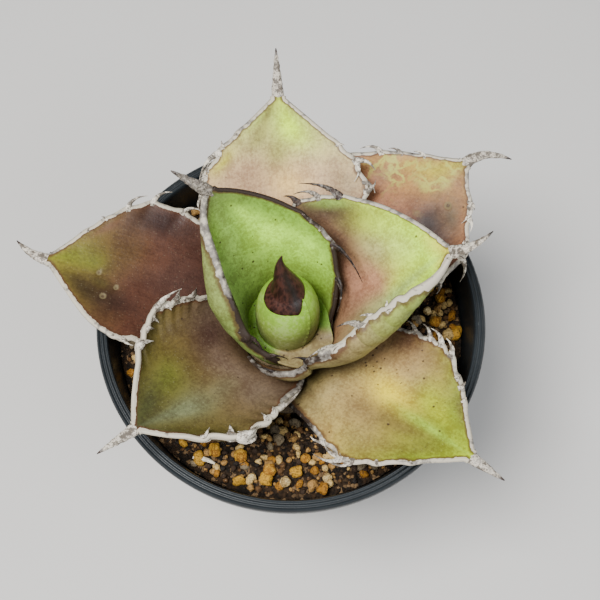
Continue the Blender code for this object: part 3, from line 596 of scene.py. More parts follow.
# ---------------------------------------------------------------- materials
def leaf_material(leaf):
    """Waxy skin: painted ground, mottling, fibres, specks, veins, scars and a dried line at the edge."""
    made, n = new_material(leaf.name + "_skin")
    where = n.where()
    flat = n.attribute("flat", "Vector")
    tint = n.attribute("tint", "Color")
    edge = n.attribute("edge_mm")
    shade = n.mix(1.0, tint, (0.62, 0.52, 0.50), "MULTIPLY")
    light = n.mix(1.0, tint, (1.34, 1.32, 1.26), "MULTIPLY")
    skin = n.group("mottle", Vector=where, Color=tint, Shade=shade, Light=light, Scale=170.0, Amount=0.6)
    fibre = n.group("fibres", Vector=flat, Scale=1300.0, Stretch=14.0)
    streak = n.ramp(fibre, 0.35, 0.65, 0.0, 0.26)
    skin = n.mix(streak, skin, n.mix(1.0, skin, (0.72, 0.68, 0.60), "MULTIPLY"))
    net = n.group("veins", Vector=where, Scale=150.0)
    skin = n.mix(n.mul(net, n.attribute("vein")), skin, (0.36, 0.36, 0.06))
    dots = n.group("specks", Vector=where, Scale=900.0, Size=0.40, Cover=n.attribute("speck"))
    skin = n.mix(n.mul(dots, 0.85), skin, (0.035, 0.018, 0.010))
    pale = n.group("specks", Vector=where, Scale=1500.0, Size=0.34, Cover=0.25)
    skin = n.mix(n.mul(pale, 0.035), skin, (0.80, 0.76, 0.50))
    scar = n.attribute("scar")
    skin = n.tinted(skin, scar, 0.15, 0.5, 0.7, (0.15, 0.12, 0.06))
    skin = n.tinted(skin, scar, 0.55, 0.75, 0.8, (0.045, 0.025, 0.015))
    wander = n.noise(where, 520.0, 3.0)
    reach = n.plus(edge, n.swing(wander, 1.6))
    skin = n.tinted(skin, reach, 1.9, 0.9, 0.8, (0.060, 0.022, 0.010))
    turn = n.plus(n.attribute("tone"), n.swing(wander, 1.2))
    dried = n.mix(n.ramp(turn, 0.28, 0.50), (0.42, 0.38, 0.30), (0.17, 0.155, 0.135))
    dried = n.mix(n.ramp(turn, 0.50, 0.78), dried, (0.026, 0.017, 0.012))
    skin = n.mix(n.ramp(reach, 0.75, 0.55), skin, dried)
    pits = n.plus(n.noise(where, 1600.0, 2.0), n.mul(fibre, 0.8))
    dips = n.minus(pits, n.mul(n.plus(dots, scar), 1.5))
    gloss = n.ramp(n.noise(where, 140.0, 3.0), 0.3, 0.7, 0.45, 0.60)
    n.put(Base_Color=skin, Roughness=gloss, Normal=n.bump(dips, 0.00012, 0.5))
    n.put(Specular_IOR_Level=0.22)
    return made


def horn_material():
    """Dead, bleached horn with brown and grey streaks; the tone attribute turns it black-brown."""
    made, n = new_material("horn")
    where = n.where()
    tone = n.attribute("tone")
    cloud = n.noise(where, 420.0, 4.0, 0.65)
    fine = n.noise(where, 1900.0, 3.0, 0.6)
    both = n.weigh(cloud, 0.62, fine)
    pale = n.mix(n.ramp(both, 0.45, 0.575), (0.10, 0.085, 0.068), (0.62, 0.57, 0.48))
    pale = n.mix(n.ramp(fine, 0.56, 0.68, 0.0, 0.7), pale, (0.10, 0.045, 0.020))
    dark = n.mix(n.ramp(both, 0.42, 0.62), (0.008, 0.006, 0.006), (0.05, 0.028, 0.02))
    silver = n.mix(n.ramp(cloud, 0.52, 0.66, 0.0, 0.6), dark, (0.27, 0.26, 0.24))
    turn = n.plus(tone, n.swing(cloud, 1.5))
    skin = n.mix(n.ramp(turn, 0.38, 0.62), pale, silver)
    skin = n.tinted(skin, tone, 0.86, 0.98, 0.8, dark)
    n.put(Base_Color=skin, Roughness=n.ramp(cloud, 0.3, 0.7, 0.42, 0.70))
    n.put(Normal=n.bump(both, 0.00035, 0.7), Specular_IOR_Level=0.25)
    return made


def bud_material(low, high):
    """Young skin: two greens from the base up, soft clouds, specks and shallow grooves."""
    made, n = new_material("bud_skin")
    where = n.where()
    height = n.add("ShaderNodeSeparateXYZ", {0: where}).outputs[2]
    up = n.ramp(height, CROWN_Z + 0.008, CROWN_Z + BUD_HEIGHT)
    tint = n.mix(up, low, high)
    shade = n.mix(1.0, tint, (0.60, 0.62, 0.55), "MULTIPLY")
    light = n.mix(0.25, tint, (0.70, 0.72, 0.45))
    skin = n.group("mottle", Vector=where, Color=tint, Shade=shade, Light=light, Scale=150.0, Amount=0.45)
    dots = n.group("specks", Vector=where, Scale=700.0, Size=0.22, Cover=0.10)
    skin = n.mix(n.mul(dots, 0.8), skin, (0.05, 0.04, 0.015))
    long = n.vector("MULTIPLY", where, (1.0, 1.0, 0.12))
    groove = n.noise(long, 900.0, 2.0)
    relief = n.minus(groove, dots)
    n.put(Base_Color=skin, Roughness=n.ramp(groove, 0.3, 0.7, 0.36, 0.5))
    n.put(Normal=n.bump(relief, 0.00012, 0.6), Specular_IOR_Level=0.25)
    return made


def claw_material():
    """Maroon-brown horn of the youngest spine, with painted shade darkening the groove down its right flank.
    """
    made, n = new_material("claw_horn")
    where = n.where()
    long = n.vector("MULTIPLY", where, (1.0, 1.0, 0.15))
    streak = n.noise(long, 1100.0, 3.0)
    warm = n.mix(n.ramp(streak, 0.35, 0.65), (0.014, 0.005, 0.004), (0.050, 0.017, 0.011))
    # Painted shade: the groove mask darkens the recess down the right flank to near black.
    groove = n.attribute("groove")
    skin = n.mix(n.mul(groove, 0.9), warm, (0.014, 0.011, 0.010))
    n.put(Base_Color=skin, Roughness=n.ramp(streak, 0.3, 0.7, 0.35, 0.5), Specular_IOR_Level=0.3)
    n.put(Normal=n.bump(streak, 0.0002, 0.6))
    return made


def plastic_material():
    """Blue-black moulded plastic, dusty and scuffed; along the rim's crest and outer edge it is a paler
    blue-grey, partly wear and partly a painted sky reflection.
    """
    made, n = new_material("pot_plastic_worn_and_painted_sheen")
    where = n.where()
    grain = n.noise(where, 2600.0, 2.0)
    dust = n.group("scuffs", Vector=where, Scale=55.0, Cover=0.55)
    marks = n.group("scuffs", Vector=n.vector("MULTIPLY", where, (1.0, 1.0, 3.0)), Scale=190.0, Cover=0.42)
    # worn marks the rim's crest and outer edge: it carries real wear (more scuffs) and a painted sky
    # reflection (a paler blue-grey).
    worn = n.attribute("worn")
    skin = n.mix(n.ramp(n.noise(where, 70.0, 4.0), 0.35, 0.65), (0.005, 0.0065, 0.0075),
                 (0.010, 0.0125, 0.0145))
    # Painted sky reflection: the rim's crest and outer edge go over to a paler blue-grey.
    skin = n.mix(n.mul(worn, 0.30), skin, (0.030, 0.038, 0.045))
    skin = n.mix(n.mul(dust, 0.22), skin, (0.06, 0.055, 0.047))
    skin = n.mix(n.mul(marks, n.plus(worn, 0.12)), skin, (0.34, 0.35, 0.36))
    gloss = n.plus(n.ramp(grain, 0.3, 0.7, 0.34, 0.48), n.mul(dust, 0.25))
    n.put(Base_Color=skin, Roughness=gloss, Normal=n.bump(grain, 0.00008, 0.5), Specular_IOR_Level=0.32)
    return made


def crust_material():
    """Dark damp fines between the grains: peat, dust and crumbs."""
    made, n = new_material("mix_fines")
    where = n.where()
    coarse = n.noise(where, 320.0, 5.0, 0.7)
    crumbs = n.add("ShaderNodeTexVoronoi", {"Vector": where, "Scale": 900.0})
    skin = n.mix(n.ramp(coarse, 0.40, 0.62), (0.006, 0.004, 0.0025), (0.030, 0.016, 0.007))
    pick = n.add("ShaderNodeSeparateColor", {0: crumbs.outputs["Color"]}).outputs[0]
    skin = n.tinted(skin, pick, 0.80, 0.86, 0.75, (0.17, 0.105, 0.05))
    height = n.minus(coarse, crumbs.outputs["Distance"])
    n.put(Base_Color=skin, Roughness=0.9, Normal=n.bump(height, 0.0010, 0.9), Specular_IOR_Level=0.2)
    return made


def grain_material():
    """Grit of many kinds: the grain attribute picks ochre clay, tan pumice, grey or dark lava."""
    made, n = new_material("mix_grit")
    where = n.where()
    pick = n.attribute("grain")
    ramp = n.add("ShaderNodeValToRGB", {0: pick})
    ramp.color_ramp.interpolation = "CONSTANT"
    stops = ramp.color_ramp.elements
    while len(stops) < len(GRIT_COLOURS):
        stops.new(0.5)
    for stop, (start, colour) in zip(stops, GRIT_COLOURS):
        stop.position = start
        stop.color = (*colour, 1)
    pores = n.noise(where, 1700.0, 4.0, 0.7)
    skin = n.mix(n.ramp(pores, 0.52, 0.36, 0.0, 0.75), ramp.outputs[0], (0.02, 0.010, 0.005))
    skin = n.tinted(skin, pores, 0.60, 0.72, 0.35, (0.62, 0.52, 0.36))
    n.put(Base_Color=skin, Roughness=0.8, Normal=n.bump(pores, 0.0005, 0.8), Specular_IOR_Level=0.3)
    return made


def lump_material(name, base, shade, light):
    """Porous lump of baked clay or pumice, darker in its hollows."""
    made, n = new_material(name)
    where = n.where()
    skin = n.group("mottle", Vector=where, Color=base, Shade=shade, Light=light, Scale=520.0, Amount=0.9)
    pores = n.noise(where, 2100.0, 4.0, 0.7)
    skin = n.tinted(skin, pores, 0.46, 0.34, 0.7, (0.04, 0.022, 0.010))
    n.put(Base_Color=skin, Roughness=0.8, Normal=n.bump(pores, 0.0006, 0.9), Specular_IOR_Level=0.3)
    return made


def stem_material():
    """Brown corky stem with rings of old leaf bases, ochre where it is fresh."""
    made, n = new_material("stem_cork")
    where = n.where()
    rings = n.vector("MULTIPLY", where, (0.25, 0.25, 1.0))
    band = n.noise(rings, 700.0, 4.0)
    skin = n.group("mottle", Vector=where, Color=(0.17, 0.115, 0.06), Shade=(0.05, 0.03, 0.018),
                   Light=(0.30, 0.24, 0.13), Scale=260.0, Amount=0.8)
    skin = n.tinted(skin, band, 0.5, 0.36, 0.6, (0.05, 0.03, 0.02))
    n.put(Base_Color=skin, Roughness=0.8, Normal=n.bump(band, 0.0006, 0.8))
    return made


# ---------------------------------------------------------------- leaf surface
def azimuth_of(index):
    return FIRST_AZIMUTH + DIVERGENCE * index + LEAVES[index].turn


def half_width(leaf, u, side):
    """Half width on one side at stations u."""
    widest = leaf.left if side > 0 else leaf.right
    base = leaf.base_width[0] if side > 0 else leaf.base_width[1]
    low = base + (widest - base) * np.sin(math.pi / 2 * np.minimum(u, leaf.widest) / leaf.widest)
    t = (u - leaf.widest) / (1 - leaf.widest)
    high = widest * ((1 - t) * (1 + leaf.full * t * (1 - t)) + 0.03 * t)
    return np.maximum(np.where(u < leaf.widest, low, high), SPINE_BASE)


def lobes(leaf, u, side):
    """The margin stands out under each tooth and draws in between."""
    out = -0.0004 * smooth(0.15, 0.35, u) * (1 - smooth(0.80, 0.95, u))
    for tooth_side, station, _, _, _, width, _ in leaf.teeth:
        if tooth_side == side:
            out = out + 0.00038 * width * np.exp(-((u - station) / 0.022) ** 2)
    return out * (1 - smooth(0.9, 1.0, u))


def rolled(leaf, u, side, reach, half):
    """Across and inward for a reach along the skin: a wide roll, then a lip folded back over the blade."""
    lip = (leaf.hem[0] if side > 0 else leaf.hem[1]) / 1000
    lip = lip * smooth(0.30, 0.54, u) * (1 - smooth(0.52, 1.0, u)) + 1e-6
    half = half - lip
    fold = np.maximum(reach - half, 0)
    reach = np.minimum(reach, half)
    roll = math.radians(leaf.roll[0] if side > 0 else leaf.roll[1])
    roll = roll * smooth(0.05, 0.4, u) * (1 - smooth(0.7, 1, u)) + 1e-3
    start = half * (1 - ROLL_SHARE)
    radius = half * ROLL_SHARE / roll
    bent = np.maximum(reach - start, 0) / radius
    across = np.where(reach <= start, reach, start + radius * np.sin(bent))
    inward = np.where(reach <= start, 0, radius * (1 - np.cos(bent)))
    tight = lip / HEM_BEND
    turn = bent + fold / tight
    across = across + tight * (np.sin(turn) - np.sin(bent))
    return across, inward + tight * (np.cos(bent) - np.cos(turn))


def thickness(leaf, u, v):
    middle = leaf.thick * (1 - 0.15 * u - 0.42 * u * u)
    return EDGE_THICKNESS + (middle - EDGE_THICKNESS) * np.maximum(0.0, 1 - v * v) ** 0.7


def rise_at(leaf, u):
    settle = 1 - smooth(0, 0.34, u)
    return np.radians(leaf.rise + leaf.curl * u + (leaf.base_rise - leaf.rise) * settle)


def midrib(leaf, u):
    steps = 24
    out = np.full_like(u, LEAF_START)
    up = np.full_like(u, CROWN_Z + leaf.lift)
    for i in range(steps):
        angle = rise_at(leaf, u * (i + 0.5) / steps)
        out = out + np.cos(angle) * leaf.length * u / steps
        up = up + np.sin(angle) * leaf.length * u / steps
    return out, up


def nest_offset(index, azimuth):
    """How far the younger leaves' bases push this leaf out of their way."""
    total = 0.0
    for younger in range(index):
        leaf = LEAVES[younger]
        away = (azimuth - azimuth_of(younger) + 180) % 360 - 180
        reach = np.where(away > 0, leaf.clasp[0], leaf.clasp[1]) + NEST_MARGIN
        away = np.abs(away)
        beside = 1 - smooth(0, 1, (away - reach) / NEST_RAMP)
        thinned = 1 - NEST_THINNING * smooth(0, 1, (away - 0.5 * reach) / (0.5 * reach))
        total = total + (leaf.thick + NEST_ROOM) * beside * thinned
    return total


def base_widths(index):
    leaf = LEAVES[index]
    push = nest_offset(index, azimuth_of(index)) * math.sin(math.radians(leaf.base_rise))
    radius = LEAF_START + float(push)
    return tuple(math.radians(angle + more) * radius for angle, more in zip(leaf.clasp, leaf.spread))


for number, each in enumerate(LEAVES):
    each.base_width = base_widths(number)


def leaf_point(index, u, v):
    """Points of the upper face; u from base to tip, v from -1 to 1 across, as equal arrays."""
    leaf = LEAVES[index]
    out, up = midrib(leaf, u)
    angle = rise_at(leaf, u)
    side = np.where(v > 0, 1.0, -1.0)
    across, fold = np.zeros_like(u), np.zeros_like(u)
    for one in (1, -1):
        half = half_width(leaf, u, one) + lobes(leaf, u, one) * smooth(0.55, 1.0, np.abs(v))
        part, lift = rolled(leaf, u, one, np.abs(v) * half, half)
        across = np.where(side == one, part, across)
        fold = np.where(side == one, lift, fold)
    wrap = out * (1 + leaf.flat * u * 2)
    turn = side * across / wrap
    ahead = out - wrap * (1 - np.cos(turn))
    aside = wrap * np.sin(turn)
    azimuth = azimuth_of(index) + leaf.sweep * u * u
    here = azimuth + np.degrees(np.arctan2(aside, ahead))
    cup = leaf.cup * v * v * smooth(0.1, 0.55, u) * (1 - smooth(0.6, 1, u))
    inward = cup + fold - nest_offset(index, here)
    ahead = ahead - inward * np.sin(angle) * np.cos(turn)
    aside = aside - inward * np.sin(angle) * np.sin(turn)
    up = up + inward * np.cos(angle)
    a = np.radians(azimuth)
    return np.stack((PLANT_X + ahead * np.cos(a) - aside * np.sin(a),
                     PLANT_Y + ahead * np.sin(a) + aside * np.cos(a), up), -1)


def unit(vectors):
    return vectors / np.maximum(np.linalg.norm(vectors, axis=-1, keepdims=True), 1e-12)


def leaf_frame(index, u, v):
    """The point, the direction to the tip, the direction across and the upper normal."""
    step = 0.004
    point = leaf_point(index, u, v)
    along = unit(leaf_point(index, u + step, v) - leaf_point(index, u - step, v))
    side = leaf_point(index, u, v + step) - leaf_point(index, u, v - step)
    normal = unit(np.cross(along, side))
    return point, along, unit(np.cross(normal, along)), normal


def ground_colour(stops, u):
    places = [stop[0] for stop in stops]
    return np.stack([np.interp(u, places, [stop[1][k] for stop in stops]) for k in range(3)], -1)


def painted(leaf, u, v, seed):
    """The leaf's colours at each station: its ground and its soft patches, of which leaf_1's first three are
    a painted highlight.
    """
    wobble = rough(np.stack((u * 4, v * 3, np.full_like(u, seed)), -1).reshape(-1, 3), 1.0).reshape(u.shape)
    colour = ground_colour(leaf.ground, u + 0.05 * wobble)
    for station, across, reach_u, reach_v, tint, strength in leaf.patches:
        away = ((u - station) / reach_u) ** 2 + ((v - across) / reach_v) ** 2
        weight = strength * np.exp(-away * (1 + 0.5 * wobble))
        colour = colour + weight[..., None] * (np.array(tint) - colour)
    return colour


def build_blade(index, stations, columns):
    """The fleshy blade: upper face, lower face, rounded margins and closed ends."""
    leaf = LEAVES[index]
    row = np.linspace(0, 1, stations + 1)
    column = np.sin(np.linspace(-1, 1, columns + 1) * math.pi / 2)
    u, v = np.meshgrid(row, column, indexing="ij")
    point, _, side, normal = leaf_frame(index, u, v)
    flat_points = point.reshape(-1, 3)
    swell = 0.00022 * rough(flat_points, 110, index) + 0.00006 * rough(flat_points, 600, index)
    inner = 1 - smooth(0.75, 1, np.abs(v))
    point = point + normal * (swell.reshape(u.shape) * inner)[..., None]
    sunk = np.zeros_like(u)
    for station, across, radius in leaf.scars:
        centre = leaf_point(index, np.array([station]), np.array([across]))[0]
        sunk = np.maximum(sunk, 1 - np.linalg.norm(point - centre, axis=-1) / radius)
    sunk = np.clip(sunk, 0, 1)
    point = point - normal * (0.0004 * smooth(0.3, 0.8, sunk))[..., None]
    deep = thickness(leaf, u, v)
    keel = 0.0006 * np.exp(-(v / 0.25) ** 2) * smooth(0.3, 0.8, u)
    lower = point - normal * (deep + keel)[..., None]
    middle = []
    for j, sign in ((0, -1), (columns, 1)):
        middle.append((point[:, j] + lower[:, j]) / 2 + sign * side[:, j] * EDGE_THICKNESS * 0.5)
    points = np.concatenate((flat := point.reshape(-1, 3), lower.reshape(-1, 3), middle[0], middle[1]))
    count = len(flat)
    width = columns + 1

    def upper(i, j):
        return i * width + j

    def under(i, j):
        return count + i * width + j

    def edge(i, right):
        return 2 * count + (stations + 1) * right + i

    faces = []
    for i in range(stations):
        for j in range(columns):
            faces.append((upper(i, j), upper(i + 1, j), upper(i + 1, j + 1), upper(i, j + 1)))
            faces.append((under(i, j), under(i, j + 1), under(i + 1, j + 1), under(i + 1, j)))
        faces.append((upper(i, columns), upper(i + 1, columns), edge(i + 1, 1), edge(i, 1)))
        faces.append((edge(i, 1), edge(i + 1, 1), under(i + 1, columns), under(i, columns)))
        faces.append((upper(i + 1, 0), upper(i, 0), edge(i, 0), edge(i + 1, 0)))
        faces.append((edge(i + 1, 0), edge(i, 0), under(i, 0), under(i + 1, 0)))
    for j in range(columns):
        faces.append((upper(0, j), upper(0, j + 1), under(0, j + 1), under(0, j)))
        end = stations
        faces.append((upper(end, j + 1), upper(end, j), under(end, j), under(end, j + 1)))
    for i, flip in ((0, 1), (stations, -1)):
        faces.append((upper(i, columns), edge(i, 1), under(i, columns))[::flip])
        faces.append((upper(i, 0), under(i, 0), edge(i, 0))[::flip])
    mesh = new_mesh(leaf.name, points, faces)
    mesh.shade_smooth()

    def spread(grid, below=None):
        below = grid if below is None else below
        sides = (grid[:, j].reshape(stations + 1, -1) for j in (0, columns))
        return np.concatenate((grid.reshape(count, -1), below.reshape(count, -1), *sides))

    colour = painted(leaf, u, v, index)
    backs = 0.6 * colour + 0.4 * np.array((0.15, 0.17, 0.06))
    both = spread(colour, backs)
    store(mesh, "tint", "FLOAT_COLOR", np.concatenate((both, np.ones((len(both), 1))), -1))
    half = np.where(v > 0, half_width(leaf, u, 1), half_width(leaf, u, -1))
    band = np.where(v > 0, leaf.bands[0], leaf.bands[1])
    margin = (1 - np.abs(v)) * half * 1000 - 0.45 * band + 0.5
    store(mesh, "edge_mm", "FLOAT", spread(margin))
    tone = np.where(v > 0, margin_tone(index, 1, u), margin_tone(index, -1, u))
    store(mesh, "tone", "FLOAT", spread(tone))
    flat_map = np.stack((v * half, u * leaf.length, np.zeros_like(u)), -1)
    store(mesh, "flat", "FLOAT_VECTOR", spread(flat_map))
    store(mesh, "scar", "FLOAT", spread(sunk, np.zeros_like(sunk)))
    cover = leaf.speck * (0.12 + 0.88 * np.exp(-((u - 0.38) / 0.16) ** 2 - ((v - 0.45) / 0.40) ** 2)) * 0.42
    store(mesh, "speck", "FLOAT", spread(cover, cover * 0.2))
    store(mesh, "vein", "FLOAT", spread(leaf.vein * smooth(0.60, 0.72, u) * smooth(-0.35, 0.05, v), 0 * u))
    return add_object(leaf.name, mesh, leaf_material(leaf))


# ---------------------------------------------------------------- horny edges, teeth and spines
def horn_tree():
    """Sweeps an oval along each path; girth and facing come from the path's points."""
    n, ins, outs = new_group("horn_sweep", "GeometryNodeTree", (
        ("Geometry", "Geometry", ""), ("Sides", "Int", 10), ("Ring Spacing", "Float", 0.0004),
        ("Flatness", "Float", 0.6), ("Raggedness", "Float", 0.00025), ("Grain Scale", "Float", 900.0),
        ("Seed", "Float", 0.0), ("Material", "Material", ""), ("Geometry", "Geometry", None)))
    line = n.add("GeometryNodeMeshToCurve", {0: ins["Geometry"]})
    spacing = {"Curve": line.outputs[0], "Length": ins["Ring Spacing"]}
    fine = n.add("GeometryNodeResampleCurve", spacing, mode="LENGTH")
    facing, girth = (n.add("GeometryNodeInputNamedAttribute", {"Name": name}, data_type=kind).outputs[0]
                     for name, kind in (("facing", "FLOAT_VECTOR"), ("girth", "FLOAT")))
    framed = n.add("GeometryNodeSetCurveNormal", {"Curve": fine.outputs[0]}, mode="FREE")
    n.link(facing, framed.inputs["Normal"])
    sized = n.add("GeometryNodeSetCurveRadius", {"Curve": framed.outputs[0], "Radius": girth})
    ring = n.add("GeometryNodeCurvePrimitiveCircle", {"Resolution": ins["Sides"], "Radius": 1.0})
    oval = n.add("ShaderNodeCombineXYZ", {0: ins["Flatness"], 1: 1.0, 2: 1.0})
    profile = n.add("GeometryNodeTransform", {"Geometry": ring.outputs[0], "Scale": oval.outputs[0]})
    swept = n.add("GeometryNodeCurveToMesh", {"Curve": sized.outputs[0], "Profile Curve": profile.outputs[0],
                "Fill Caps": True})
    if "Scale" in swept.inputs:
        n.link(girth, swept.inputs["Scale"])
    spot = n.add("GeometryNodeInputPosition").outputs[0]
    shift = n.add("ShaderNodeCombineXYZ", {0: ins["Seed"], 1: ins["Seed"], 2: 0.0}).outputs[0]
    moved = n.vector("ADD", spot, shift)
    lumps = n.add("ShaderNodeTexNoise", {"Vector": moved, "Scale": ins["Grain Scale"], "Detail": 3.0})
    amount = n.mul(n.swing(lumps.outputs[0], 2.0), ins["Raggedness"])
    share = n.mul(amount, n.math("MINIMUM", n.mul(girth, 1100.0), 1.0))  # thin points stay smooth
    normal = n.add("GeometryNodeInputNormal").outputs[0]
    offset = n.scaled(normal, share)
    worn = n.add("GeometryNodeSetPosition", {"Geometry": swept.outputs[0], "Offset": offset})
    soft = n.add("GeometryNodeSetShadeSmooth", {0: worn.outputs[0]})
    real = n.add("GeometryNodeRealizeInstances", {0: soft.outputs[0]})
    final = n.add("GeometryNodeSetMaterial", {"Geometry": real.outputs[0], "Material": ins["Material"]})
    n.link(final.outputs[0], outs["Geometry"])
    return n.tree


def grow(obj, tree, values):
    """Adds a node tree to an object and sets the tree's inputs by their identifiers."""
    modifier = obj.modifiers.new(tree.name, "NODES")
    modifier.node_group = tree
    for item in tree.interface.items_tree:
        if item.item_type == "SOCKET" and item.in_out == "INPUT" and item.name in values:
            modifier[item.identifier] = values[item.name]
    return obj


class Paths:
    """Open paths of points, each with a girth, a facing and a tone."""

    def __init__(self):
        self.points, self.girths, self.facings, self.tones, self.edges = [], [], [], [], []

    def add(self, points, girths, facings, tones):
        start = len(self.points)
        self.points += [tuple(p) for p in points]
        self.girths += list(girths)
        self.facings += [tuple(f) for f in facings]
        self.tones += list(tones)
        self.edges += [(start + i, start + i + 1) for i in range(len(points) - 1)]

    def mesh(self, name):
        mesh = new_mesh(name, self.points, (), self.edges)
        store(mesh, "girth", "FLOAT", self.girths)
        store(mesh, "facing", "FLOAT_VECTOR", self.facings)
        store(mesh, "tone", "FLOAT", self.tones)
        return mesh


def spine_line(index, count):
    """Points, normals and shares of length along the terminal spine, from inside the blade to its point."""
    leaf = LEAVES[index]
    one = np.array([1.0])
    tip, along, side, normal = (a[0] for a in leaf_frame(index, one, one * 0.0))
    middle = tip - normal * float(thickness(leaf, 1.0, 0.0)) / 2
    t = np.linspace(0, 1, count)[:, None]
    bent = unit(along + side * math.tan(math.radians(leaf.spine_turn)) * t)
    return middle + bent * leaf.spine * t, np.repeat(normal[None], count, 0), t[:, 0]


def margin_tone(index, side, u):
    """How dark the horny edge is at each station: 0 bleached, 1 black-brown."""
    leaf = LEAVES[index]
    tone = leaf.tones[0 if side > 0 else 1]
    if index == 0 and side > 0:
        return 0.95 - 0.52 * smooth(0.50, 0.60, u)
    if index == 0:
        return 0.92 - 0.45 * np.exp(-((u - 0.55) / 0.05) ** 2)
    drift = 0.5 + 0.5 * np.sin(u * 23 + index * 2.1 + side)
    return np.clip(tone + 0.16 * (drift - 0.4) + 0.45 * (1 - smooth(0.25, 0.5, u)), 0, 1)


def margin_path(index, side, paths):
    """The horny edge of one margin, running on up the spine's flank."""
    leaf = LEAVES[index]
    band = leaf.bands[0 if side > 0 else 1] / 1000
    u = np.linspace(0.08, 0.985, 150)
    tone = margin_tone(index, side, u)
    point, _, across, normal = leaf_frame(index, u, np.full_like(u, side * 0.995))
    inset = 0.32 * band
    deep = EDGE_THICKNESS * 0.45
    centre = point - side * across * inset - normal * deep
    ragged = rough(centre, 380, index * 2 + side)
    centre = centre + side * across * (0.00022 * ragged)[:, None]
    girth = band * 0.5 * (0.45 + 0.55 * smooth(0.08, 0.4, u)) * (1 + 0.22 * ragged)
    girth = girth * (1 - 0.35 * smooth(0.85, 1, u))
    flank, face, t = spine_line(index, 24)
    half = SPINE_BASE * (1 - t) ** 0.9
    leaning = flank + side * across[-1] * (half * 0.75)[:, None]
    keep = (t > 0.1) & (t < 0.7)
    points = np.concatenate((centre, leaning[keep]))
    girths = np.concatenate((girth, (band * 0.30 * (1 - t) ** 0.7)[keep]))
    facings = np.concatenate((normal, face[keep]))
    paths.add(points, girths, facings, np.concatenate((tone, np.full(keep.sum(), tone[-1]))))


def spine_path(index, paths):
    """The terminal spine, thickest where it leaves the blade."""
    leaf = LEAVES[index]
    u = np.linspace(0.90, 0.99, 8)
    point, _, _, normal = leaf_frame(index, u, np.zeros_like(u))
    rooted = point - normal * (thickness(leaf, u, 0 * u) / 2)[:, None]
    line, face, t = spine_line(index, 30)
    slim = SPINE_BASE * 1.12 * (1 - t) ** 0.85 + 0.00014
    girths = np.concatenate((np.linspace(0.0007, SPINE_BASE, 8), slim))
    start = 0.26 + 0.30 * sum(leaf.tones) / 2
    tones = np.concatenate((np.full(8, start), start + 0.5 * smooth(0.80, 1.0, t)))
    paths.add(np.concatenate((rooted, line)), girths, np.concatenate((normal, face)), tones)


def tooth_path(index, tooth, paths):
    """One hooked tooth: out from the margin on a broad foot, then over to its point."""
    side, station, out, along_mm, up, width, tone = tooth
    at = np.array([station])
    point, along, across, normal = (a[0] for a in leaf_frame(index, at, at * 0 + side * 0.99))
    outward = across * side
    tip = (outward * out + along * along_mm + normal * up) / 1000
    length = float(np.linalg.norm(tip))
    t = np.linspace(0, 1, 14)
    rootward = outward * 0.0009 + normal * EDGE_THICKNESS * 0.5
    first = outward * min(0.45 * length, 0.0032) + normal * 0.0004
    swing = (2 * t * (1 - t))[:, None]
    path = point - rootward + swing * first * 1.2 + (t ** 1.5)[:, None] * (tip + rootward * 0.6)
    girth = width / 2000 * ((1 - t) ** 1.9 * 0.68 + 0.24 * (1 - t) ** 0.7) + 0.00008
    facing = np.repeat(normal[None], len(t), 0)
    paths.add(path, girth, facing, np.clip(tone + 0.25 * smooth(0.6, 1, t) * (tone > 0.2), 0, 1))


def build_horn(index, tree, finish, settings):
    leaf = LEAVES[index]
    paths = Paths()
    for side in (1, -1):
        margin_path(index, side, paths)
    spine_path(index, paths)
    for tooth in leaf.teeth:
        tooth_path(index, tooth, paths)
    source = add_object(leaf.name + "_paths", paths.mesh(leaf.name + "_paths"))
    values = {"Sides": settings.sides, "Raggedness": settings.raggedness, "Seed": float(index),
              "Material": finish}
    return settled(grow(source, tree, values), leaf.name + "_horn")


# ---------------------------------------------------------------- bud
def bud_centre(height):
    bend = np.maximum(0.0, height - BUD_HEIGHT) / CLAW_LENGTH
    side = CLAW_HOOK * bend ** 3 - CLAW_SIDEWAYS * smooth(0, 1, bend)
    return PLANT_X + side, PLANT_Y - 0.0005 + math.sin(BUD_LEAN) * height


def bud_radius(height):
    t = height / BUD_HEIGHT
    closing = BUD_CLOSING * np.maximum(0, t - 0.45) / 0.55
    body = EGG_SWELL * BUD_RADIUS * (0.93 + 0.07 * smooth(0, 0.35, t))
    return body * np.cos(math.pi / 2 * np.minimum(closing, 0.97)) ** 0.62


def ring_skin(name, ring_points):
    """A closed skin through rings of equal count, fanned shut at both ends."""
    rings, count = ring_points.shape[:2]
    points = ring_points.reshape(-1, 3)
    ends = np.stack((ring_points[0].mean(0), ring_points[-1].mean(0)))
    faces = []
    for r in range(rings - 1):
        for i in range(count):
            j = (i + 1) % count
            faces.append((r * count + i, r * count + j, (r + 1) * count + j, (r + 1) * count + i))
    low = rings * count
    for i in range(count):
        j = (i + 1) % count
        faces.append((low, j, i))
        faces.append((low + 1, (rings - 1) * count + i, (rings - 1) * count + j))
    mesh = new_mesh(name, np.concatenate((points, ends)), faces)
    mesh.shade_smooth()
    return mesh


def build_bud(settings):
    """The egg of rolled young leaves, one margin wrapping over the other."""
    heights = np.linspace(0, BUD_HEIGHT + 0.0006, 90)
    angles = np.linspace(0, math.tau, 120, endpoint=False)
    height, angle = np.meshgrid(heights, angles, indexing="ij")
    radius = bud_radius(np.minimum(height, BUD_HEIGHT))
    radius = radius * np.where(height > BUD_HEIGHT, 0.6, 1)
    turn = (angle - math.radians(-58) - 26 * (height - 0.008)) % math.tau
    lap = 0.00045 * (1 - smooth(0, 0.10, turn)) * smooth(0.002, 0.010, height)
    radius = radius + lap - 0.0003
    x, y = bud_centre(height)
    points = np.stack((x + radius * np.cos(angle), y + radius * np.sin(angle), CROWN_Z + height), -1)
    mesh = ring_skin("bud", points)
    finish = bud_material(settings.low_colour[:], settings.high_colour[:])
    return add_object("bud_egg", mesh, finish)


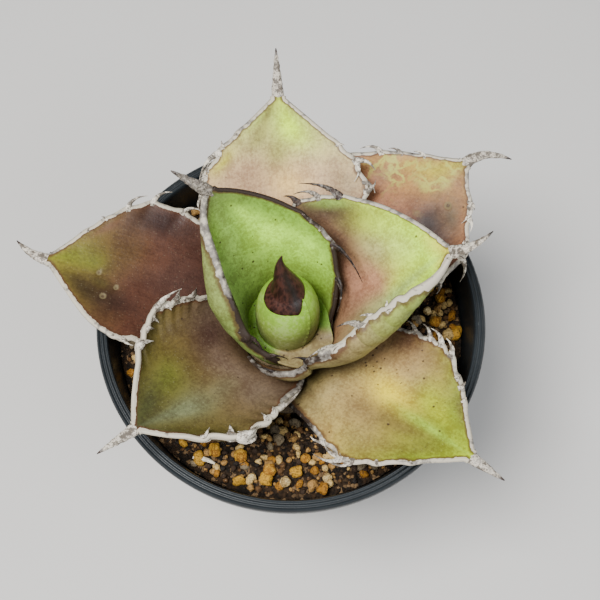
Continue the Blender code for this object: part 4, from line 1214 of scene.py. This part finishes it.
def build_sheath():
    """The clasped bases round the foot of the bud: green inside the young leaf, tan inside the next."""
    angles = np.linspace(0, math.tau, 180, endpoint=False)
    turn = np.degrees(angles) % 360
    shares = np.linspace(0, 1, 24)
    share, angle = np.meshgrid(shares, angles, indexing="ij")
    outer = np.interp(turn, *SHEATH_EDGE) / 1000
    radius = SHEATH_INNER + (outer - SHEATH_INNER) * share
    height = 0.0052 + 0.0016 * np.abs(share - 0.35) ** 1.6 - 0.0010 * (1 - smooth(0, 0.2, share))
    x, y = PLANT_X + radius * np.cos(angle), PLANT_Y + radius * np.sin(angle)
    lumps = 0.0003 * rough(np.stack((x, y, height), -1).reshape(-1, 3), 300, 5).reshape(x.shape)
    top = np.stack((x, y, CROWN_Z + height + lumps), -1)
    under = top - np.array((0, 0, 0.002))
    rings = np.concatenate((top, under[::-1], top[:1]))
    count = len(angles)
    faces = []
    for r in range(len(rings) - 1):
        for i in range(count):
            j = (i + 1) % count
            nxt = 0 if r == len(rings) - 2 else (r + 1) * count
            faces.append((r * count + i, nxt + i, nxt + j, r * count + j))
    mesh = new_mesh("sheath", rings[:-1].reshape(-1, 3), faces)
    mesh.shade_smooth()
    inside_first = np.where(turn > 300, smooth(338, 356, turn), 1 - smooth(236, 262, turn))
    weight = np.tile(inside_first, len(rings) - 1)[:, None]
    colour = np.array(SHEATH_TAN) + weight * (np.array(SHEATH_GREEN) - np.array(SHEATH_TAN))
    store(mesh, "tint", "FLOAT_COLOR", np.concatenate((colour, np.ones((len(colour), 1))), -1))
    store(mesh, "flat", "FLOAT_VECTOR", rings[:-1].reshape(-1, 3))
    for name, value in (("edge_mm", 9.0), ("scar", 0), ("speck", 0.15), ("tone", 0), ("vein", 0)):
        store(mesh, name, "FLOAT", np.full(len(colour), value))
    return add_object("leaf_sheath", mesh, leaf_material(LEAVES[0]))


def build_claw():
    """The broad claw on the bud: a heart-shaped foot, a groove down its right flank, a hooked point."""
    angles = np.linspace(0, math.tau, 96, endpoint=False)
    t, angle = np.meshgrid(np.linspace(0, 1, 80), angles, indexing="ij")
    turn = np.degrees(angle) % 360
    flank = np.exp(-((turn - CLAW_GROOVE) / 18) ** 2)
    foot = BUD_HEIGHT * np.interp(turn, *CLAW_FOOT)
    height = foot + (BUD_HEIGHT + CLAW_LENGTH - foot) * t
    above = np.maximum(0, height - BUD_HEIGHT) / CLAW_LENGTH
    egg = bud_radius(np.minimum(height, BUD_HEIGHT)) + 0.0005 * smooth(0, 0.06, t) - 0.0002
    spine = CLAW_RADIUS * 1.02 * (1 - above) ** 1.1 + 0.00018
    radius = np.where(height > BUD_HEIGHT, np.minimum(spine, egg), egg)
    groove = flank * smooth(0.02, 0.10, t) * (1 - smooth(0.45, 0.80, t))
    radius = radius * (1 - 0.16 * groove * smooth(0.96 * BUD_HEIGHT, 1.12 * BUD_HEIGHT, height))
    x, y = bud_centre(height)
    depth = 1 - 0.1 * smooth(0.94 * BUD_HEIGHT, 1.08 * BUD_HEIGHT, height)
    y = y + radius * np.sin(angle) * depth
    points = np.stack((x + radius * np.cos(angle), y, CROWN_Z + height), -1)
    mesh = ring_skin("claw", points)
    # The groove mask also paints shade into the groove, in claw_material.
    store(mesh, "groove", "FLOAT", np.append(groove.ravel(), (0, 0)))
    return add_object("bud_claw", mesh, claw_material())


# ---------------------------------------------------------------- pot
def wall_radius(height):
    top = RIM_RADIUS - RIM_WIDTH + WALL
    return BASE_RADIUS + (top - BASE_RADIUS) * height / POT_HEIGHT


def pot_profile(ridges, depth):
    """Inside from the floor up, over the ridged rim, and down the outside."""
    inner = RIM_RADIUS - RIM_WIDTH
    top = POT_HEIGHT
    under = top - RIM_DEPTH
    line = [(0, FLOOR_THICKNESS)]
    line += [(r, FLOOR_THICKNESS) for r in (0.012, 0.024, 0.036)]
    low = wall_radius(FLOOR_THICKNESS) - WALL
    line += [(low - 0.0012, FLOOR_THICKNESS), (low - 0.0003, FLOOR_THICKNESS + 0.0004)]
    line += [(low + (inner - low) * s, FLOOR_THICKNESS + (top - 0.0012 - FLOOR_THICKNESS) * s)
             for s in np.linspace(0.02, 1, 24)]
    line.append((inner + 0.0003, top - 0.0004))
    across = np.linspace(0, 1, 8 * ridges + 1)
    for s in across:
        dip = depth * (0.5 - 0.5 * math.cos(math.tau * ridges * s))
        line.append((inner + 0.0006 + (RIM_WIDTH - 0.0012) * s, top - dip))
    line += [(RIM_RADIUS - 0.0002, top - 0.0004), (RIM_RADIUS, top - 0.0011)]
    line += [(RIM_RADIUS - 0.0001, top - 0.0030), (RIM_RADIUS - 0.0004, under + 0.0004)]
    line.append((RIM_RADIUS - 0.0008, under))
    line += [(wall_radius(under) + 0.0003, under - 0.0002), (wall_radius(under - 0.001), under - 0.0010)]
    line += [(wall_radius(z), z) for z in np.linspace(under - 0.004, 0.004, 26)]
    line += [(wall_radius(0) - 0.0001, 0.0012), (BASE_RADIUS - 0.0004, 0.0003), (BASE_RADIUS - 0.0010, 0)]
    line += [(r, 0) for r in (0.036, 0.024, 0.012)]
    line.append((0, 0))
    return line


def build_pot(settings):
    points, faces = lathe(pot_profile(settings.rim_ridges, settings.ridge_depth), settings.sides)
    mesh = new_mesh("nursery_pot_body", points, faces)
    obj = add_object("pot_blank", mesh)
    tools = []
    for ring, (ring_radius, holes, hole_radius) in enumerate(DRAIN_RINGS):
        for i in range(holes):
            angle = math.tau * (i + 0.5 * ring) / holes
            lines = [(0, -0.002), (hole_radius, -0.002), (hole_radius, 0.006), (0, 0.006)]
            around, skins = lathe(lines, 32)
            x, y = ring_radius * math.cos(angle), ring_radius * math.sin(angle)
            shifted = [(p[0] + x, p[1] + y, p[2]) for p in around]
            tool = add_object(f"drain_{ring}_{i}", new_mesh(f"drain_{ring}_{i}", shifted, skins))
            cut = obj.modifiers.new("Drain", "BOOLEAN")
            cut.operation, cut.solver, cut.object = "DIFFERENCE", "EXACT", tool
            tools.append(tool)
    pot = settled(obj, "nursery_pot_body")
    for tool in tools:
        bpy.data.objects.remove(tool)
    pot.data.shade_smooth()
    pot.data.set_sharp_from_angle(angle=math.radians(50))
    z = np.array([v.co.z for v in pot.data.vertices])
    out = np.array([math.hypot(v.co.x, v.co.y) for v in pot.data.vertices])
    # The rim's crest and outer edge, stored as worn: real wear, and a painted sky reflection in the plastic's
    # colour.
    crest = smooth(POT_HEIGHT - 0.0006, POT_HEIGHT - 0.0001, z)
    flank = 0.5 * smooth(RIM_RADIUS - 0.0006, RIM_RADIUS, out)
    store(pot.data, "worn", "FLOAT", np.maximum(crest, flank))
    pot.data.materials.append(plastic_material())
    return pot


# ---------------------------------------------------------------- mix
def soil_height(x, y):
    out = math.hypot(x - PLANT_X, y - PLANT_Y)
    dip = SOIL_DIP_DEPTH * (1 - float(smooth(SOIL_DIP_INNER, SOIL_DIP_OUTER, out)))
    place_at = Vector((x, y, 0))
    return SOIL_LEVEL - dip + 0.0007 * noise.noise(place_at * 260) + 0.0005 * noise.noise(place_at * 700)


def build_crust():
    """The body of the mix, filling the pot to its level."""
    side_top = wall_radius(SOIL_LEVEL) - WALL - 0.0002
    floor = FLOOR_THICKNESS + 0.0003
    side_low = wall_radius(floor) - WALL - 0.0002
    profile = [(0, floor), (side_low * 0.5, floor), (side_low, floor)]
    profile += [(side_low + (side_top - side_low) * s, floor + (SOIL_LEVEL - floor) * s)
                for s in (0.35, 0.7, 0.96)]
    profile += [(side_top * s, SOIL_LEVEL) for s in np.linspace(1, 0.015, 56)]
    profile.append((0, SOIL_LEVEL))
    points, faces = lathe(profile, 180)
    raised = [(x, y, soil_height(x, y) if z > SOIL_LEVEL - 0.0001 else z) for x, y, z in points]
    mesh = new_mesh("mix_body", raised, [face[::-1] for face in faces])
    mesh.shade_smooth()
    return add_object("mix_body", mesh, crust_material())


def scatter_surface():
    """A plain sheet over the open ring of mix, for grains to lie on."""
    points, faces = [], []
    rings, sides = 16, 96
    outer = wall_radius(SOIL_LEVEL) - WALL - 0.0018
    for i in range(rings + 1):
        radius = 0.018 + (outer - 0.018) * i / rings
        for j in range(sides):
            angle = math.tau * j / sides
            x, y = radius * math.cos(angle), radius * math.sin(angle)
            points.append((x, y, soil_height(x, y)))
    for i in range(rings):
        for j in range(sides):
            k = (j + 1) % sides
            faces.append((i * sides + j, (i + 1) * sides + j, (i + 1) * sides + k, i * sides + k))
    return new_mesh("mix_surface", points, faces)


def grit_tree():
    """Scatters lumpy grains over a surface, each turned, sized and numbered at random."""
    n, ins, outs = new_group("grit_scatter", "GeometryNodeTree", (
        ("Geometry", "Geometry", ""), ("Density", "Float", 60000.0), ("Smallest", "Float", 0.0008),
        ("Largest", "Float", 0.0020), ("Detail", "Int", 1), ("Lowest Kind", "Float", 0.0),
        ("Highest Kind", "Float", 1.0), ("Lift", "Float", 0.0), ("Seed", "Int", 1),
        ("Material", "Material", ""), ("Geometry", "Geometry", None)))
    seed = ins["Seed"]
    spread = {"Mesh": ins["Geometry"], "Density": ins["Density"], "Seed": seed}
    spots = n.add("GeometryNodeDistributePointsOnFaces", spread)
    ball = n.add("GeometryNodeMeshIcoSphere", {"Radius": 0.5, "Subdivisions": ins["Detail"]})
    spot = n.add("GeometryNodeInputPosition").outputs[0]
    kinds = n.tree.nodes.new("GeometryNodeJoinGeometry")
    for shift in (3.7, 1.2, 5.1, 8.4):
        moved = n.vector("ADD", spot, (shift, shift, shift))
        lump = n.add("ShaderNodeTexNoise", {"Vector": moved, "Scale": 1.6, "Detail": 1.0}).outputs[0]
        size = n.swing(lump, 1.5)
        outward = n.scaled(spot, size)
        lumpy = n.add("GeometryNodeSetPosition", {"Geometry": ball.outputs[0], "Offset": outward})
        single = n.add("GeometryNodeGeometryToInstance", {0: lumpy.outputs[0]})
        n.link(single.outputs[0], kinds.inputs[0])
    pick = n.add("FunctionNodeRandomValue", {"Seed": seed}, data_type="INT")
    pick.inputs[4].default_value, pick.inputs[5].default_value = 0, 3
    turn = n.add("FunctionNodeRandomValue", {"Seed": seed}, data_type="FLOAT_VECTOR")
    turn.inputs[0].default_value, turn.inputs[1].default_value = (0, 0, 0), (6.28, 6.28, 6.28)
    size = n.add("FunctionNodeRandomValue", {2: ins["Smallest"], 3: ins["Largest"]}, data_type="FLOAT")
    squash = n.add("FunctionNodeRandomValue", data_type="FLOAT_VECTOR")
    squash.inputs[0].default_value, squash.inputs[1].default_value = (0.75, 0.7, 0.6), (1.2, 1.1, 1.0)
    scale = n.scaled(squash.outputs[0], size.outputs[1])
    shades = {2: ins["Lowest Kind"], 3: ins["Highest Kind"]}
    kind = n.add("FunctionNodeRandomValue", shades, data_type="FLOAT")
    laid = n.add("GeometryNodeInstanceOnPoints", {"Points": spots.outputs[0], "Instance": kinds.outputs[0],
               "Pick Instance": True, "Instance Index": pick.outputs[2],
               "Rotation": turn.outputs[0], "Scale": scale})
    tagged = n.add("GeometryNodeStoreNamedAttribute", {"Geometry": laid.outputs[0], "Name": "grain",
                 "Value": kind.outputs[1]}, data_type="FLOAT", domain="INSTANCE")
    raise_by = n.add("ShaderNodeCombineXYZ", {2: ins["Lift"]}).outputs[0]
    lifted = n.add("GeometryNodeTranslateInstances", {"Instances": tagged.outputs[0], "Translation": raise_by,
                 "Local Space": False})
    real = n.add("GeometryNodeRealizeInstances", {0: lifted.outputs[0]})
    soft = n.add("GeometryNodeSetShadeSmooth", {0: real.outputs[0]})
    final = n.add("GeometryNodeSetMaterial", {"Geometry": soft.outputs[0], "Material": ins["Material"]})
    n.link(final.outputs[0], outs["Geometry"])
    return n.tree


def lumpy_grain(node, finish, seed):
    """A loose grain in the place of its CAD node, rough and rounded."""
    low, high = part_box(node)
    centre = (low + high) / 2
    ball = add_object(node + "_ball", bpy.data.meshes.new(node))
    sphere_into(ball.data, 4)
    size = (high - low) / 2
    for vertex in ball.data.vertices:
        way = vertex.co.normalized()
        lump = 1.10 + 0.22 * noise.noise(way * 1.3 + Vector((seed, 0, 0)))
        lump = lump + 0.07 * noise.noise(way * 4 + Vector((0, seed, 0)))
        shaped = Vector((way.x * size.x, way.y * size.y, way.z * size.z)) * lump
        vertex.co = centre + shaped - Vector((0, 0, GRAIN_SINK))
    ball.data.shade_smooth()
    ball.data.materials.append(finish)
    ball.name = node + "_lump"
    return ball


def sphere_into(mesh, subdivisions):
    shape = bmesh.new()
    bmesh.ops.create_icosphere(shape, subdivisions=subdivisions, radius=1.0)
    shape.to_mesh(mesh)
    shape.free()


# ---------------------------------------------------------------- settings
class AgavePotSettings(PropertyGroup):
    sides: IntProperty(name="Sides", description="Facets round the pot", default=256, min=64)
    rim_ridges: IntProperty(name="Rim ridges", description="Rolled ridges on top of the rim",
                            default=2, min=1)
    ridge_depth: FloatProperty(name="Ridge depth", description="Depth between the ridges", default=0.0004,
                               unit="LENGTH", subtype="DISTANCE")


class AgaveMixSettings(PropertyGroup):
    fines: FloatProperty(name="Fines", description="Small crumbs per square metre", default=330000.0)
    grit: FloatProperty(name="Grit", description="Middling grains per square metre", default=120000.0)
    lumps: FloatProperty(name="Lumps", description="Large grains per square metre", default=30000.0)


class AgaveBudSettings(PropertyGroup):
    low_colour: FloatVectorProperty(name="Lower colour", description="Green at the foot of the bud",
                                    default=(0.17, 0.19, 0.05), subtype="COLOR")
    high_colour: FloatVectorProperty(name="Upper colour", description="Green under the claw",
                                     default=(0.22, 0.42, 0.03), subtype="COLOR")


class AgaveLeafSettings(PropertyGroup):
    stations: IntProperty(name="Stations", description="Rows along a blade", default=150, min=20)
    columns: IntProperty(name="Columns", description="Columns across a blade", default=64, min=12)


class AgaveHornSettings(PropertyGroup):
    sides: IntProperty(name="Sides", description="Facets round an edge or tooth", default=12, min=6)
    raggedness: FloatProperty(name="Raggedness", description="Height of the lumps on the horn",
                              default=0.00042, unit="LENGTH", subtype="DISTANCE")


class AgaveStageSettings(PropertyGroup):
    floor_colour: FloatVectorProperty(name="Floor", description="Colour of the floor",
                                      default=(0.50, 0.49, 0.475), subtype="COLOR")
    key_power: FloatProperty(name="Key light", description="Power of the light overhead",
                             default=15.0, unit="POWER")


# ---------------------------------------------------------------- operators
class AGAVE_OT_pot(Operator):
    """Builds the nursery pot with its ridged rim and drain holes"""
    bl_idname = "agave.build_pot"
    bl_label = "Build Pot"

    def execute(self, context):
        place(build_pot(context.scene.agave_pot), ("nursery_pot",))
        return {"FINISHED"}


class AGAVE_OT_mix(Operator):
    """Fills the pot with gritty mix and scatters its grains"""
    bl_idname = "agave.build_mix"
    bl_label = "Build Mix"

    def execute(self, context):
        settings = context.scene.agave_mix
        place(build_crust(), ("potting_mix",))
        tree = grit_tree()
        finish = grain_material()
        layers = (("mix_fines_loose", settings.fines, 0.0008, 0.0016, 1, 0.0, 0.72, 0.0001, 11),
                  ("mix_grit_loose", settings.grit, 0.0016, 0.0030, 2, 0.10, 0.95, 0.0005, 23),
                  ("mix_lumps_loose", settings.lumps, 0.0030, 0.0044, 3, 0.60, 1.0, 0.0010, 37))
        labels = ("Density", "Smallest", "Largest", "Detail", "Lowest Kind", "Highest Kind", "Lift", "Seed")
        for name, *numbers in layers:
            sheet = add_object(name + "_sheet", scatter_surface())
            values = dict(zip(labels, numbers), Material=finish)
            place(settled(grow(sheet, tree, values), name))
        return {"FINISHED"}


class AGAVE_OT_loose(Operator):
    """Lays the loose clay and pumice grains and the dry root on the mix"""
    bl_idname = "agave.build_loose"
    bl_label = "Build Loose Grains"

    def execute(self, context):
        clay = lump_material("akadama_clay", (0.34, 0.145, 0.008), (0.12, 0.042, 0.005), (0.56, 0.33, 0.05))
        stone = lump_material("pumice_stone", (0.38, 0.255, 0.09), (0.13, 0.075, 0.03), (0.62, 0.50, 0.26))
        for number, node in enumerate(sorted(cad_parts)):
            if node.startswith("akadama_grain"):
                place(lumpy_grain(node, clay, number), (node,))
            elif node.startswith("pumice_grain"):
                place(lumpy_grain(node, stone, number), (node,))
        dry = lump_material("dry_root_skin", (0.66, 0.60, 0.46), (0.42, 0.35, 0.24), (0.80, 0.77, 0.66))
        refinish("dry_root_bit", dry)
        return {"FINISHED"}


class AGAVE_OT_stem(Operator):
    """Gives the stem and roots their corky skin"""
    bl_idname = "agave.build_stem"
    bl_label = "Finish Stem"

    def execute(self, context):
        refinish("stem_and_roots", stem_material())
        return {"FINISHED"}


class AGAVE_OT_bud(Operator):
    """Builds the closed bud and its claw"""
    bl_idname = "agave.build_bud"
    bl_label = "Build Bud"

    def execute(self, context):
        place(build_bud(context.scene.agave_bud), ("bud",))
        place(build_claw())
        place(build_sheath())
        return {"FINISHED"}


class AGAVE_OT_leaves(Operator):
    """Builds the blades of the rosette"""
    bl_idname = "agave.build_leaves"
    bl_label = "Build Leaves"

    def execute(self, context):
        settings = context.scene.agave_leaf
        for index, leaf in enumerate(LEAVES):
            blade = build_blade(index, settings.stations, settings.columns)
            place(blade, (leaf.node,))
        return {"FINISHED"}


class AGAVE_OT_horn(Operator):
    """Grows the horny edges, the teeth and the terminal spines"""
    bl_idname = "agave.build_horn"
    bl_label = "Build Teeth and Spines"

    def execute(self, context):
        tree = horn_tree()
        finish = horn_material()
        for index in range(len(LEAVES)):
            piece = build_horn(index, tree, finish, context.scene.agave_horn)
            place(piece)
        return {"FINISHED"}


class AGAVE_OT_stage(Operator):
    """Sets the floor, the soft lights and the camera"""
    bl_idname = "agave.build_stage"
    bl_label = "Build Stage"

    def execute(self, context):
        settings = context.scene.agave_stage
        build_floor(settings)
        build_lights(settings)
        build_camera()
        return {"FINISHED"}


def build_floor(settings):
    corners = [(x * FLOOR_SIZE, y * FLOOR_SIZE, 0) for x, y in ((-1, -1), (1, -1), (1, 1), (-1, 1))]
    mesh = new_mesh("floor", corners, [(0, 1, 2, 3)])
    made, n = new_material("floor_paper")
    where = n.where()
    soft = n.noise(where, 6.0, 3.0)
    tone = n.mix(n.ramp(soft, 0.3, 0.7, 0.0, 0.06), settings.floor_colour[:], (0.9, 0.88, 0.85))
    n.put(Base_Color=tone, Roughness=0.85)
    add_object("floor", mesh, made)


def area_light(name, place_at, aim, size, power, colour):
    data = bpy.data.lights.new(name, "AREA")
    data.shape = "DISK"
    data.size = size
    data.energy = power
    data.color = colour
    light = bpy.data.objects.new(name, data)
    bpy.context.scene.collection.objects.link(light)
    light.location = place_at
    light.rotation_euler = (Vector(aim) - Vector(place_at)).to_track_quat("-Z", "Y").to_euler()


def build_lights(settings):
    world = bpy.data.worlds.new("studio")
    world.use_nodes = True
    background = world.node_tree.nodes["Background"]
    background.inputs[0].default_value = SKY_COLOUR
    background.inputs[1].default_value = SKY_STRENGTH
    bpy.context.scene.world = world
    aim = (0, 0, POT_HEIGHT)
    area_light("key", (-0.26, -0.14, 0.86), aim, 0.36, settings.key_power, (1.0, 0.985, 0.96))
    area_light("fill", (0.55, -0.35, 0.60), aim, 0.6, settings.key_power * 0.28, (0.95, 0.97, 1.0))


def build_camera():
    data = bpy.data.cameras.new("camera")
    data.sensor_width = 36.0
    data.lens = CAMERA_LENS
    data.shift_x, data.shift_y = CAMERA_SHIFT
    camera = bpy.data.objects.new("camera", data)
    bpy.context.scene.collection.objects.link(camera)
    aim = Vector((0, 0, POT_HEIGHT))
    back, up = math.cos(CAMERA_ELEVATION), math.sin(CAMERA_ELEVATION)
    camera.location = aim + Vector((0, -back, up)) * CAMERA_DISTANCE
    camera.rotation_euler = (aim - camera.location).to_track_quat("-Z", "Y").to_euler()
    data.clip_start = 0.01
    bpy.context.scene.camera = camera


# ---------------------------------------------------------------- panel and registration
STEPS = (AGAVE_OT_pot, AGAVE_OT_mix, AGAVE_OT_loose, AGAVE_OT_stem, AGAVE_OT_bud, AGAVE_OT_leaves,
         AGAVE_OT_horn, AGAVE_OT_stage)
SETTINGS = (("agave_pot", AgavePotSettings), ("agave_mix", AgaveMixSettings), ("agave_bud", AgaveBudSettings),
            ("agave_leaf", AgaveLeafSettings), ("agave_horn", AgaveHornSettings),
            ("agave_stage", AgaveStageSettings))


class AGAVE_PT_panel(Panel):
    bl_idname = "AGAVE_PT_panel"
    bl_label = "Potted Agave"
    bl_space_type = "VIEW_3D"
    bl_region_type = "UI"
    bl_category = "Agave"

    def draw(self, context):
        for name, kind in SETTINGS:
            box = self.layout.box()
            for label in kind.__annotations__:
                box.prop(getattr(context.scene, name), label)
        for step in STEPS:
            self.layout.operator(step.bl_idname)


def register():
    for name, kind in SETTINGS:
        bpy.utils.register_class(kind)
        setattr(bpy.types.Scene, name, PointerProperty(type=kind))
    for step in STEPS:
        bpy.utils.register_class(step)
    bpy.utils.register_class(AGAVE_PT_panel)


def unregister():
    bpy.utils.unregister_class(AGAVE_PT_panel)
    for step in reversed(STEPS):
        bpy.utils.unregister_class(step)
    for name, kind in reversed(SETTINGS):
        delattr(bpy.types.Scene, name)
        bpy.utils.unregister_class(kind)


def main():
    register()
    bpy.ops.agave.build_pot()
    bpy.ops.agave.build_mix()
    bpy.ops.agave.build_loose()
    bpy.ops.agave.build_stem()
    bpy.ops.agave.build_bud()
    bpy.ops.agave.build_leaves()
    bpy.ops.agave.build_horn()
    bpy.ops.agave.build_stage()


if __name__ == "__main__":
    main()
